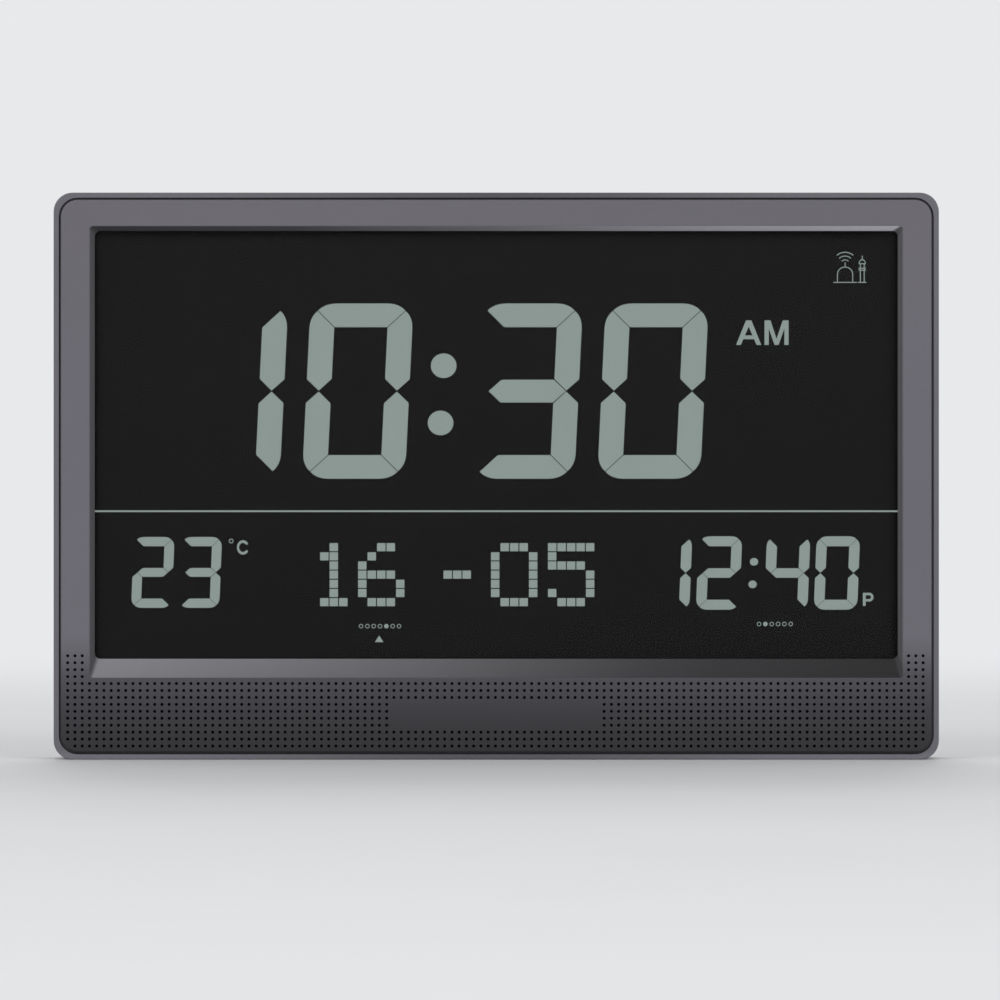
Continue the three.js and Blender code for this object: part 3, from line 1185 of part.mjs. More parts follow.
function makeStandLeg() {
  const shape = new THREE.Shape();
  shape.moveTo(LEG.right, LEG.top);
  shape.lineTo(LEG.left, LEG.top);
  shape.absarc(LEG.left + LEG_CORNER, LEG.bottom + LEG_CORNER, LEG_CORNER, Math.PI, Math.PI * 1.5);
  shape.absarc(LEG.right - LEG_CORNER, LEG.bottom + LEG_CORNER, LEG_CORNER, -Math.PI / 2, 0);
  const panel = plate(shape, [LEG_BACK - LEG_THICKNESS, LEG_BACK]);
  const hinge = [LEG_HINGE_DEPTH, LEG_HINGE_Z];
  const barrel = crossBar([LEG.left, LEG.right], ...hinge, LEG_BARREL_RADIUS, ROUND_SIDES);
  const bore = crossBar([LEG.left - OVERRUN, LEG.right + OVERRUN], ...hinge, LEG_PIN_RADIUS + SEAT);
  const middle = LEG_BACK - LEG_THICKNESS / 2;
  const padSlot = {
    left: -PAD_WIDTH / 2 - SEAT,
    right: PAD_WIDTH / 2 + SEAT,
    bottom: LEG.bottom - OVERRUN,
    top: LEG.bottom + PAD_HEIGHT - PAD_SHOW + SEAT,
  };
  const slotHalf = PAD_THICKNESS / 2 + SEAT;
  return cut(
    join(panel, barrel),
    bore,
    box(padSlot, [middle - slotHalf, middle + slotHalf]),
    ...grooves(0, LEG.bottom + PAD_HEIGHT + GROOVE_PITCH, LEG_GROOVE_WIDTH, LEG_BACK),
  );
}

function makeStandPad() {
  const middle = LEG_BACK - LEG_THICKNESS / 2;
  const rect = rectAround(0, LEG.bottom - PAD_SHOW + PAD_HEIGHT / 2, PAD_WIDTH, PAD_HEIGHT);
  return box(rect, [middle - PAD_THICKNESS / 2, middle + PAD_THICKNESS / 2]);
}

function makeStandPin() {
  const reach = LEG_POCKET.right + POCKET_WALL - 2 * SEAT;
  return crossBar([-reach, reach], LEG_HINGE_DEPTH, LEG_HINGE_Z, LEG_PIN_RADIUS);
}

// Screws: their own middle line is a front-to-back axis and their head's underside lies at zero

function makeScrew({ radius, length, headRadius, headHeight }) {
  const body = turned([
    [0, -length],
    [radius, -length],
    [radius, 0],
    [headRadius, 0],
    [headRadius, headHeight],
    [0, headHeight],
  ], POST_SIDES);
  const slotLength = 2 * headRadius * SLOT_SHARE;
  const slots = [[slotLength, SCREW_SLOT_WIDTH], [SCREW_SLOT_WIDTH, slotLength]].map(([width, height]) => {
    const geometry = new THREE.BoxGeometry(width, SCREW_SLOT_DEPTH * 2, height);
    geometry.translate(0, headHeight, 0);
    return solidOf(geometry);
  });
  return cut(body, ...slots);
}

// Everything in its place

addMesh('rear_housing', makeRearHousing(), backPlastic());
addMesh('front_bezel', makeFrontBezel(), casePlastic());
addMesh('display_lens', box(LENS, [LENS_FRONT, LENS_FRONT + LENS_THICKNESS]), finish(0x1e1e1e, 0.08));
addMesh('segment_mask', makeSegmentMask(), finish(0x1e1e1e, 0.4));
addMesh('display_glass', box(LENS, [GLASS_FRONT, GLASS_FRONT + GLASS_THICKNESS]), finish(0x8c9894, 0.2));
addMesh('light_guide', box(GUIDE, [GUIDE_FRONT, GUIDE_BACK]), finish(0xdfe8e6, 0.2));
addMesh('led_strip', makeLedStrip(), finish(0xe8e8e2, 0.5));
const reflectorDepths = [REFLECTOR_FRONT, REFLECTOR_FRONT + SHEET_THICKNESS];
addMesh('reflector_sheet', box(LENS, reflectorDepths), finish(0xf2f2f0, 0.3));
addMesh('display_holder', makeDisplayHolder(), blackPlastic());
addMesh('display_ribbon', makeDisplayRibbon(), finish(0xb0702c, 0.4));

addMesh('main_board', makeMainBoard(), circuitBoard());
addMesh('main_chip', boardPart(MAIN_CHIP, BOARD_PLACE_SHARES.mainChip), finish(0x151517, 0.5));
addMesh('sound_chip', boardPart(SOUND_CHIP, BOARD_PLACE_SHARES.soundChip), finish(0x151517, 0.5));
addMesh('quartz_crystal', boardPart(CRYSTAL, BOARD_PLACE_SHARES.crystal), steel());
addMesh('smoothing_capacitor', makeCapacitor(), finish(0x24324f, 0.4));
addMesh('key_board', makeKeyBoard(), circuitBoard());
addMesh('key_ribbon', makeKeyRibbon(), finish(0xd8d4c8, 0.5));

for (const [name, side] of SIDES) {
  const place = [side * SPEAKER_SPREAD, yAt(SPEAKER_FRONT), SPEAKER_Z];
  const clothFront = yAt(BEZEL_WALL + SEAT);
  const cloth = turned([
    [0, 0],
    [SPEAKER_DIAMETER / 2, 0],
    [SPEAKER_DIAMETER / 2, CLOTH_THICKNESS],
    [0, CLOTH_THICKNESS],
  ]);
  addMesh(`speaker_cloth_${name}`, cloth, finish(0x0d0d0e, 0.9), [place[0], clothFront, place[2]]);
  addMesh(`speaker_frame_${name}`, speakerPiece(FRAME_SHARES), steel(), place);
  addMesh(`speaker_cone_${name}`, speakerPiece(CONE_SHARES), finish(0x1a1a1b, 0.8), place);
  addMesh(`speaker_magnet_${name}`, speakerPiece(MAGNET_SHARES), finish(0x303236, 0.6), place);
  const endX = side < 0 ? MAIN_BOARD.left + 2 * BOARD_HOLE_INSET : MAIN_BOARD.right - 2 * BOARD_HOLE_INSET;
  addMesh(`speaker_wire_${name}`, speakerWire(side, endX), finish(0xa8231c, 0.5));
}

keyPlaces.forEach(([name, x]) => addMesh(`${name}_key`, makeKey(x), keyPlastic()));
addMesh('volume_wheel', makeVolumeWheel(), keyPlastic());
addMesh('volume_control', makeVolumePot(), finish(0x3a3c40, 0.5));

addMesh('power_inlet', makePowerInlet(), blackPlastic());
const inletWireStart = [JACK_BACK_X - JACK_LENGTH - SEAT, JACK_DEPTH, JACK_Z];
const inletWireEnd = MAIN_BOARD.bottom + MAIN_BOARD_HEIGHT / 2;
addMesh('power_wire', sideWire(inletWireStart, 1, inletWireEnd), finish(0x232325, 0.5));
addMesh('temperature_sensor', makeTemperatureSensor(), finish(0x1c1c1e, 0.5));

const batteryMiddleZ = (BATTERY.bottom + BATTERY.top) / 2;
for (let i = 0; i < CELL_COUNT; i++) {
  const x = BATTERY.left + SEAT + CELL_DIAMETER / 2 + i * (CELL_DIAMETER + SEAT);
  const group = new THREE.Group();
  group.position.set(x, yAt(CELL_AXIS_DEPTH), batteryMiddleZ);
  group.rotation.y = i * Math.PI;
  const pieces = [
    [`battery_${i + 1}`, makeCell(), finish(0x2f4a5e, 0.35, 0.3)],
    [`battery_spring_${i + 1}`, makeCellSpring(), nickel()],
    [`battery_contact_${i + 1}`, makeCellContact(), nickel()],
  ];
  pieces.forEach(([name, solid, material]) => {
    const mesh = new THREE.Mesh(geometryOf(solid), material);
    mesh.name = name;
    group.add(mesh);
  });
  clock.add(group);
}
addMesh('battery_door', makeBatteryDoor(), backPlastic());
const batteryWireStart = [BATTERY.right + POCKET_WALL + SEAT, CELL_AXIS_DEPTH, batteryMiddleZ];
addMesh('battery_wire', sideWire(batteryWireStart, -1, batteryMiddleZ), finish(0x1f1f22, 0.5));

addMesh('stand_leg', makeStandLeg(), backPlastic());
addMesh('stand_pin', makeStandPin(), steel());
addMesh('stand_foot_pad', makeStandPad(), finish(0x141414, 0.9));

caseScrewPlaces.forEach(([x, z], i) => {
  addMesh(`case_screw_${i + 1}`, makeScrew(CASE_SCREW), steel(), [x, yAt(CASE_SCREW_SEAT + SEAT), z]);
});
boardScrewPlaces.forEach(([x, z], i) => {
  addMesh(`board_screw_${i + 1}`, makeScrew(BOARD_SCREW), steel(), [x, yAt(MAIN_BOARD_BACK + SEAT), z]);
});

export default clock;
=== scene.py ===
"""Azan clock: the finished look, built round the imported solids.

Lengths in the geometry are millimetres in the CAD's own frame. A place is given as x, depth and z,
where depth counts from the bezel's front face towards the back. Materials measure in metres.
"""

from math import asin, atan2, cos, hypot, pi, radians, sin, tan, tau

import bpy
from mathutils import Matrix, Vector
from mathutils.geometry import delaunay_2d_cdt


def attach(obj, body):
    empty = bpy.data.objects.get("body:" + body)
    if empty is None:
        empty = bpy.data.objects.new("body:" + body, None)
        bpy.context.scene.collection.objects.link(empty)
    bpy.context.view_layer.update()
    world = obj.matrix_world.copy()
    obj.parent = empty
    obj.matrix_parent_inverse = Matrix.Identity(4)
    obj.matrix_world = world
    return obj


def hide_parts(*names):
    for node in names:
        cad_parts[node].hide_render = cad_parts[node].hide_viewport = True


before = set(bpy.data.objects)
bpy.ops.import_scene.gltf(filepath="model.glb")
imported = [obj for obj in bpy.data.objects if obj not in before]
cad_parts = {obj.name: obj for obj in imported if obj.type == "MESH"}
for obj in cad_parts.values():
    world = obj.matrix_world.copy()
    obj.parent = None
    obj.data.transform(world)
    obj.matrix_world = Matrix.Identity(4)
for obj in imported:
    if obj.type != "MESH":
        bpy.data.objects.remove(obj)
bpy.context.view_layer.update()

CASE_DEPTH = 36.1
BACK_INSIDE = 33.6
FLAT_LIMIT = cos(radians(50))  # a smaller turn is shaded smooth

# Case, window and display: left, right, bottom, top
CASE = (-185.0, 185.0, 0.0, 237.0)
CASE_CORNER = 8.0
BEZEL = (-181.9, 181.9, 3.1, 233.9)
BEZEL_CORNER = 7.0
WINDOW = (-169.8, 169.8, 34.5, 223.0)
DISPLAY = (-167.9, 167.9, 42.1, 221.0)
LENS = (-170.3, 170.3, 39.7, 223.6)
FENCE_INSIDE = (-170.6, 170.6, 39.4, 223.9)
FENCE = (-171.9, 171.9, 38.1, 225.2)

# Depths inside the bezel
PANEL_BACK = 2.5
BEVEL_DEPTH = 3.2
LENS_FACE = 3.8
SKIRT_END = 11.5
FENCE_END = 12.8
FILM_FRONT, FILM_BACK = 6.15, 6.3

# Sunk places of the back
LEG_POCKET = (-30.5, 30.5, 4.3, 119.1)
NOTCHES = (-41.5, 41.5, 17.0, 39.0)
POCKET_FLOOR = 29.1
DOOR_OPENING = (-122.35, -85.65, 78.6, 143.1)
DOOR_LEDGE = 33.5
DOOR_HINGE_FLOOR = 32.4
CELL_POCKET = (-118.95, -89.05, 82.0, 139.7)
CELL_FLOOR = 18.7
CELL_DEPTH = 26.25
CELLS = ((-111.4, 88.4, 82.3, 1), (-96.6, 133.3, 139.4, -1))  # x, foot, plate and way up
KEY_PANEL = (30.0, 154.0, 184.5, 203.5)
KEY_PANEL_FLOOR, KEY_PANEL_BACK = 33.7, 31.2
KEY_PLACES = {"mode": 42.0, "set": 57.0, "up": 72.0, "down": 87.0, "alarm": 102.0, "light": 117.0}
KEY_Z = 194.0
KEY_TOP = 35.3
WHEEL_X = 138.7
WHEEL_DEPTH = 28.3
SCREW_PLACES = [(side * 176.1, z) for side in (-1, 1) for z in (48.0, 130.0, 214.0)]
SCREW_SEAT = 17.8
KEYHOLE_PLACES = [(-110.0, 214.0), (110.0, 214.0)]
VENT_PLACES = [(140.0, 20.0 + 4.2 * i) for i in range(5)]
INLET_DEPTH = 24.35
INLET_Z = 62.0

# The leg and the door
PLATE_BACK = 35.8
GROOVE_DEPTH = 0.6
DOOR_HINGE_DEPTH, DOOR_HINGE_Z = 34.3, 80.5

# Perforated chin, with through holes within reach of a speaker's middle
HOLE_MIDDLE = -0.35
HOLE_PITCH_X = 3.028
HOLE_PITCH_Z = 2.9
HOLE_LOWEST = 5.7
HOLE_RADIUS = 0.62
BLIND_DEPTH = 2.3
SPEAKER_X = 120.0
SPEAKER_Z = 19.2
SPEAKER_REACH = 11.4


def sweep(first, last, steps):
    """Even steps from first to last, with both."""
    return [first + (last - first) * i / steps for i in range(steps + 1)]


# Outlines: each point keeps the direction in which it moves when the outline grows

def rounded(corners, steps=5):
    """A closed outline, counter-clockwise, from corners given as x, z and radius."""
    points = []
    for i, (x, z, radius) in enumerate(corners):
        here = Vector((x, z))
        come = (here - Vector(corners[i - 1][:2])).normalized()
        go = (Vector(corners[(i + 1) % len(corners)][:2]) - here).normalized()
        turn = atan2(come.x * go.y - come.y * go.x, come.dot(go))
        side = 1 if turn > 0 else -1
        inwards = Vector((-come.y, come.x)) * side * radius
        centre = here - come * radius * tan(abs(turn) / 2) + inwards
        for angle in sweep(0.0, turn, steps):
            out = Vector((come.y * cos(angle) + come.x * sin(angle),
                          come.y * sin(angle) - come.x * cos(angle)))
            point = centre + out * side * radius
            points.append((point.x, point.y, out.x, out.y))
    return points


def grown(rect, by):
    return (rect[0] - by, rect[1] + by, rect[2] - by, rect[3] + by)


def box(left, right, low, high):
    return [(left, low), (right, low), (right, high), (left, high)]


def round_rect(rect, radius, steps=5):
    return rounded([(x, z, radius) for x, z in box(*rect)], steps)


def arc(x, z, radius, turns):
    return [(x + radius * cos(t), z + radius * sin(t), cos(t), sin(t)) for t in turns]


def circle(x, z, radius, sides=32):
    return arc(x, z, radius, sweep(0.0, tau, sides)[:-1])


def rounding(radius, steps=4):
    """A rounded edge from face to side, as pairs of place and growth."""
    return [(radius * (1 - cos(t)), -radius * (1 - sin(t))) for t in sweep(0.0, pi / 2, steps)]


def closed(start, count):
    """The edges of a closed loop of numbered points."""
    return [(start + i, start + (i + 1) % count) for i in range(count)]


def inside(point, polygon):
    """Whether a point lies in a polygon, by counting crossings."""
    found = False
    for a, b in zip(polygon, [*polygon[1:], polygon[0]]):
        if (a[1] > point[1]) != (b[1] > point[1]):
            if point[0] < (b[0] - a[0]) * (point[1] - a[1]) / (b[1] - a[1]) + a[0]:
                found = not found
    return found


def new_object(name, data):
    made = bpy.data.objects.new(name, data)
    bpy.context.scene.collection.objects.link(made)
    return made


# The two axes of an outline
FRONT = (0, 2)  # x and z, placed at a depth
SIDE = (1, 2)  # depth and z, placed at an x
TOP = (0, 1)  # x and depth, placed at a z


class Shell:
    """Points and faces of one piece, whose outlines lie in its plane."""

    def __init__(self, plane=FRONT):
        self.points, self.faces, self.kinds, self.flats = [], [], [], []
        self.plane = plane

    def face(self, corners, kind=0, flat=False):
        self.faces.append(tuple(corners))
        self.kinds.append(kind)
        self.flats.append(flat)

    def ring(self, loop, place, grow=0.0):
        first = len(self.points)
        for u, v, out_u, out_v in loop:
            point = [place, place, place]
            point[self.plane[0]], point[self.plane[1]] = u + out_u * grow, v + out_v * grow
            self.points.append(point)
        return list(range(first, len(self.points)))

    def rings(self, loop, profile):
        """The same outline at pairs of place and growth."""
        return [self.ring(loop, place, grow) for place, grow in profile]

    def bridge(self, first, second, kind=0, skip=None):
        """A wall between two rings, facing outwards if the second lies further along."""
        for i, j in closed(0, len(first)):
            if i != skip:
                self.face((first[i], second[i], second[j], first[j]), kind)

    def bridges(self, rings, kind=0, inwards=False):
        for near, far in zip(rings, rings[1:]):
            self.bridge(*((far, near) if inwards else (near, far)), kind)

    def turned(self, u, v, profile, sides=32, kind=0, near_cap=True, far_cap=False, hollow=False):
        """A turned body: pairs of radius and place, from the near end to the far end."""
        rings = [self.ring(circle(u, v, radius, sides), place) for radius, place in profile]
        self.bridges(rings, kind, hollow)
        if near_cap:
            self.fill(rings[0], kind=kind)
        if far_cap:
            self.fill(rings[-1], kind=kind, away=True)
        return rings

    def fill(self, outer, holes=(), kind=0, away=False):
        """A flat face between an outline and its holes."""
        ids, owner, spans, edges = [], [], [], []
        for k, loop in enumerate([outer, *holes]):
            edges += closed(len(ids), len(loop))
            spans.append(slice(len(ids), len(ids) + len(loop)))
            ids += loop
            owner += [k] * len(loop)
        flat = [Vector([self.points[i][axis] for axis in self.plane]) for i in ids]
        _, _, triangles, origins, _, _ = delaunay_2d_cdt(flat, edges, [], 1, 1e-6, True)
        for triangle in triangles:
            source = [origins[v][0] for v in triangle]
            owners = {owner[s] for s in source}
            if len(owners) == 1 and owners != {0}:
                middle = sum((flat[s] for s in source), Vector((0, 0))) / 3
                if inside(middle, flat[spans[owners.pop()]]):
                    continue
            a, b, c = (flat[s] for s in source)
            if ((b - a).cross(c - a) < 0) != away:
                source.reverse()
            self.face([ids[s] for s in source], kind, True)

    def recess(self, loop, face, floor, edge, foot=0.0, kind=0):
        """Walls from a rounded edge down to a floor: the rings at both."""
        way = 1 if floor > face else -1
        profile = [(face, edge), (face + way * edge * 0.3, edge * 0.3), (face + way * edge, 0.0)]
        if foot:
            profile += [(floor - way * foot, 0.0), (floor - way * foot * 0.3, -foot * 0.3)]
        rings = self.rings(loop, [*profile, (floor, -foot)])
        self.bridges(rings, kind, way > 0)
        return rings[0], rings[-1]

    def sunk(self, loop, face, floor, edge, foot=0.0, kind=0, floor_kind=0):
        """A recess with its floor: the ring at the face."""
        mouth, bottom = self.recess(loop, face, floor, edge, foot, kind)
        self.fill(bottom, kind=floor_kind or kind, away=True)
        return mouth

    def build(self, name, body, materials, replaced):
        mesh = bpy.data.meshes.new(name)
        places = [(x / 1000, (d - CASE_DEPTH / 2) / 1000, z / 1000) for x, d, z in self.points]
        mesh.from_pydata(places, [], self.faces)
        mesh.polygons.foreach_set("material_index", self.kinds)
        mesh.polygons.foreach_set("use_smooth", [True] * len(self.faces))
        for material in materials:
            mesh.materials.append(material)
        mesh.update()
        mesh.normals_split_custom_set(self.normals(mesh))
        piece = new_object(name, mesh)
        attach(piece, body)
        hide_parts(replaced)

    def normals(self, mesh):
        """A flat face keeps its own direction, and a curved one leans on its neighbours."""
        normals = [p.normal.copy() for p in mesh.polygons]
        areas = [p.area for p in mesh.polygons]
        at = [[] for _ in mesh.vertices]
        for p in mesh.polygons:
            for v in p.vertices:
                at[v].append(p.index)
        corners = []
        for p in mesh.polygons:
            own = normals[p.index]
            for v in p.vertices:
                near = [f for f in at[v] if normals[f].dot(own) > FLAT_LIMIT]
                level = [normals[f] for f in near if self.flats[f]]
                total = sum((normals[f] * areas[f] for f in near), Vector((0, 0, 0)))
                if self.flats[p.index] or not total.length:
                    corners.append(own)
                else:
                    corners.append(level[0] if level else total.normalized())
        return corners


# Materials

def linear(*color):
    """A screen colour of 0 to 255 as the linear one that shaders take."""
    return tuple(c / 255 / 12.92 if c <= 10 else ((c / 255 + 0.055) / 1.055) ** 2.4
                 for c in color) + (1.0,)


def tinted(grey, green, blue):
    return linear(grey, grey * green, grey * blue)


def bevel_grey(grey):
    return tinted(grey, 0.99, 1.027)


class Nodes:
    def __init__(self, owner):
        owner.use_nodes = True
        self.tree = owner.node_tree

    def add(self, kind, inputs=None, **settings):
        node = self.tree.nodes.new(f"ShaderNode{kind}")
        for key, value in settings.items():
            setattr(node, key, value)
        for key, value in (inputs or {}).items():
            if isinstance(value, bpy.types.NodeSocket):
                self.tree.links.new(value, node.inputs[key])
            else:
                node.inputs[key].default_value = value
        return node

    def math(self, operation, first, second=0.0):
        return self.add("Math", {0: first, 1: second}, operation=operation).outputs[0]

    def seen(self):
        """1 where the camera, a mirror or glass looks straight at this."""
        path = self.add("LightPath").outputs
        either = self.math("MAXIMUM", path["Is Camera Ray"], path["Is Glossy Ray"])
        return self.math("MAXIMUM", either, path["Is Transmission Ray"])

    def surface(self, output, share, first, second):
        mixed = self.add("MixShader", {0: share, 1: first.outputs[0], 2: second.outputs[0]})
        self.tree.links.new(mixed.outputs[0], self.tree.nodes[output].inputs["Surface"])


class Look(Nodes):
    """One procedural material on a Principled shader."""

    def __init__(self, name, roughness=0.5, shine=0.5, **sockets):
        self.material = bpy.data.materials.new(name)
        super().__init__(self.material)
        self.shader = self.tree.nodes["Principled BSDF"]
        for key, value in {"Roughness": roughness, "Specular IOR Level": shine, **sockets}.items():
            self.shader.inputs[key.replace("_", " ")].default_value = value
        self.object = self.add("TexCoord").outputs["Object"]
        self.x, self.y, self.z = self.add("SeparateXYZ", {0: self.object}).outputs

    def span(self, value, low, high, to_low=0.0, to_high=1.0, smooth=False):
        inputs = {0: value, 1: low, 2: high, 3: to_low, 4: to_high}
        kind = "SMOOTHSTEP" if smooth else "LINEAR"
        return self.add("MapRange", inputs, interpolation_type=kind).outputs[0]

    def texture(self, kind, scale, inputs=None, output="Fac"):
        inputs = {"Vector": self.object, "Scale": scale, **(inputs or {})}
        return self.add(f"Tex{kind}", inputs).outputs[output]

    def noise(self, scale, detail=2.0):
        return self.texture("Noise", scale, {"Detail": detail})

    def vary(self, low, high, scale, detail):
        return self.span(self.noise(scale, detail), 0.3, 0.7, low, high)

    def ramp(self, value, *stops):
        node = self.add("ValToRGB", {0: value})
        elements = node.color_ramp.elements
        elements[0].position, elements[0].color = stops[0]
        elements[1].position, elements[1].color = stops[-1]
        for position, color in stops[1:-1]:
            elements.new(position).color = color
        return node.outputs[0]

    def painted_across(self, *stops):
        """A bevel's painted light and shade along the width, from stops of share and grey."""
        share = self.span(self.x, -0.17, 0.17)
        return self.ramp(share, *[(stop, bevel_grey(grey)) for stop, grey in stops])

    def mix(self, share, first, second, blend="MIX"):
        inputs = {0: share, 6: first, 7: second}
        return self.add("Mix", inputs, data_type="RGBA", blend_type=blend).outputs[2]

    def shaded(self, color, shade):
        grey = self.add("CombineColor", {0: shade, 1: shade, 2: shade}).outputs[0]
        return self.mix(1.0, color, grey, "MULTIPLY")

    def mottle(self, color, spread=0.04, scale=14.0, fine=700.0):
        """Small differences of colour, broad and fine."""
        broad = self.vary(1 - spread, 1 + spread, scale, 3.0)
        close = self.vary(1 - spread / 2, 1 + spread / 2, fine, 2.0)
        return self.shaded(color, self.math("MULTIPLY", broad, close))

    def join(self, value, socket):
        self.tree.links.new(value, self.shader.inputs[socket])

    def done(self, color, rough=None, height=None, strength=0.1, distance=0.0001):
        """The material; rough is low, high and the scale of the change."""
        self.join(color, "Base Color")
        if rough:
            self.join(self.vary(*rough, 3.0), "Roughness")
        if height:
            inputs = {"Strength": strength, "Distance": distance, "Height": height}
            self.join(self.add("Bump", inputs).outputs[0], "Normal")
        return self.material

    def off_mitre(self, x, z, along_x, along_z):
        """How far a point lies off a mitre through x and z."""
        aside = self.math("SUBTRACT", x, self.math("ABSOLUTE", self.x))
        above = self.math("SUBTRACT", self.z, z)
        return self.math("ADD", self.math("MULTIPLY", aside, along_x),
                         self.math("MULTIPLY", above, along_z))


def moulded(name, color, low=0.42, high=0.52, spread=0.03, grain=2600.0, strength=0.1, **sockets):
    """Grained plastic, in one colour or in what a function gives."""
    look = Look(name, **sockets)
    color = look.mottle(color(look) if callable(color) else linear(*color), spread)
    return look.done(color, (low, high, 40.0), look.noise(grain), strength)


def graded(name, color_of, low=0.45, high=0.55, shine=0.5):
    """The front's grey plastic, its colour changing from place to place; on the bevels and the rim
    that is painted light and shade.
    """
    return moulded(name, color_of, low, high, 0.025, 2600.0, 0.08, shine=shine, IOR=1.46)


FACE_FOOT, FACE_TOP = 4.0, 222.0
FACE_STOPS = (
    (FACE_FOOT, 38, 0.975, 1.07), (10.2, 43, 0.975, 1.07), (21.6, 57.5, 0.975, 1.07),
    (35.5, 79.5, 0.975, 1.06), (45.5, 105.5, 0.98, 1.05), (51.7, 113, 0.983, 1.055),
    (130.0, 111, 0.98, 1.055), (FACE_TOP, 110, 0.97, 1.041))


def face_color(look):
    """Even over the frame, and darker and a little bluer down the chin."""
    stops = [((z - FACE_FOOT) / (FACE_TOP - FACE_FOOT), tinted(*grey)) for z, *grey in FACE_STOPS]
    return look.ramp(look.span(look.z, FACE_FOOT / 1000, FACE_TOP / 1000), *stops)


def top_bevel_painted_light(look):
    # Painted light: the bevel above brightens from dark at the left to bright at the right.
    return look.painted_across((0, 68), (0.25, 83), (0.5, 135), (0.8, 194), (1, 220))


def ledge_painted_shading(look):
    """Painted light and shade: paler at the left and the top, darker at the right and the foot."""
    along = look.painted_across((0, 140), (0.11, 132), (0.26, 120), (0.55, 86), (0.68, 65), (0.78, 54),
                        (1, 41))
    return look.shaded(along, look.span(look.z, 0.0345, 0.0423, 0.93, 1.05))


def side_painted_shade(look):
    """Painted shade: the side bevels end in a darker corner at the ledge."""
    share = look.span(look.z, 0.0355, 0.043)
    return look.mix(share, look.painted_across((0, 72), (1, 66)), look.painted_across((0, 93), (1, 100)))


def corner_painted_shading(look):
    """Painted light and shade on the rounded mitres beside the ledge, from the side bevel's grey to
    the ledge's.
    """
    share = look.span(look.off_mitre(0.16945, 0.03485, 0.962, -0.272), -0.0004, 0.0015, smooth=True)
    return look.mix(share, look.painted_across((0, 85), (1, 72)), look.painted_across((0, 140), (1, 50)))


def upper_corner_painted_shading(look):
    """Painted light on the rounded mitres above, where the top bevel's grey starts lower at the
    left.
    """
    start = look.span(look.x, -0.1, 0.1, -0.0013, 0.0005)
    off = look.math("SUBTRACT", look.off_mitre(0.168, 0.221, 0.57, 0.82), start)
    share = look.span(off, 0.0, 0.0015, smooth=True)
    return look.mix(share, bevel_grey(94), look.painted_across((0, 74), (1, 213)))


def rim_painted_shading(look):
    """Painted shade half way along the top and bottom runs, and painted light at the foot."""
    share = look.span(look.math("ABSOLUTE", look.x), 0.0, 0.15, smooth=True)
    high, low = (look.mix(share, tinted(dark, 0.985, 1.05), tinted(pale, 0.985, 1.05))
                 for dark, pale in ((84, 110), (93, 122)))
    return look.mix(look.span(look.z, 0.0015, 0.004), low, high)


def shadowed_by_window(look, *color):
    """Painted shadow of the window's edge: black under the edge, more softly right and above, and
    paler inside.
    """
    spans = ((look.x, -0.1683, -0.1655), (look.x, 0.1682, 0.1642),
             (look.z, 0.2215, 0.2168), (look.z, 0.0415, 0.0428))
    left, right, top, foot = (look.span(*ends, smooth=True) for ends in spans)
    aside, along = look.math("MINIMUM", left, right), look.math("MINIMUM", top, foot)
    return look.mix(look.math("MINIMUM", aside, along), linear(4, 4, 4), linear(*color))


def lens_look():
    look = Look("lens_plastic", 0.06, shine=0.15, Alpha=0.25)
    look.material.surface_render_method = "BLENDED"
    # Painted shadow of the window's edge on the lens.
    color = look.mottle(shadowed_by_window(look, 22, 22, 23), 0.04, 8.0, 60.0)
    return look.done(color, (0.05, 0.08, 25.0), look.noise(9.0, 1.0), 0.02, 0.0002)


def mask_look():
    look = Look("mask_film", shine=0.12)
    # Painted shadow of the window's edge on the film.
    color = look.mottle(shadowed_by_window(look, 37, 36, 36), 0.03, 10.0, 300.0)
    return look.done(color, None, look.noise(900.0, 1.0), 0.05)


def lit_look():
    """Lit glass, a little brighter over each lamp."""
    look = Look("display_glass", 0.3, Base_Color=linear(60, 66, 64), Emission_Strength=1.35)
    wave = look.span(look.texture("Wave", 11.0, {"Distortion": 0.6}), 0, 1, -0.006, 0.006)
    even = look.math("ADD", look.vary(0.985, 1.015, 30.0, 2.0), wave)
    look.join(look.shaded(linear(150, 164, 159), even), "Emission Color")
    return look.material


def guide_look():
    """Clear plastic with fine dots that let the light out."""
    look = Look("guide_plastic", 0.2, shine=0.4)
    dots = look.texture("Voronoi", 420.0, output="Distance")
    return look.done(look.mottle(linear(223, 232, 230), 0.02, 20.0, 400.0), None, dots, 0.15)


def metal(name, color, low, high):
    look = Look(name, Metallic=1.0)
    color = look.mottle(linear(*color), 0.06, 60.0, 1200.0)
    return look.done(color, (low, high, 300.0), look.noise(900.0, 3.0), 0.12)


def threads(look, along, pitch):
    return look.math("SINE", look.math("MULTIPLY", along, pitch * 6.283))


def cloth_look():
    look = Look("speaker_cloth", 0.9, Sheen_Weight=0.3)
    weave = look.math("MULTIPLY", threads(look, look.x, 1500.0), threads(look, look.z, 1500.0))
    color = look.mix(look.span(weave, -1, 1), linear(9.6, 9.6, 10.2), linear(16, 16, 17))
    return look.done(color, None, weave, 0.5, 0.0002)


def board_look():
    look = Look("circuit_board", 0.35)
    tracks = look.texture("Brick", 90.0, {"Mortar Size": 0.03})
    varnish = look.mix(tracks, linear(31, 90, 52), linear(52, 128, 78))
    return look.done(look.mottle(varnish, 0.05, 30.0, 500.0), None, tracks, 0.2)


def ribbon_look(name, color, line):
    look = Look(name, 0.4)
    lines = threads(look, look.x, 1000.0)
    color = look.mix(look.span(lines, -0.3, 0.3), linear(*line), linear(*color))
    return look.done(color, None, lines, 0.3)


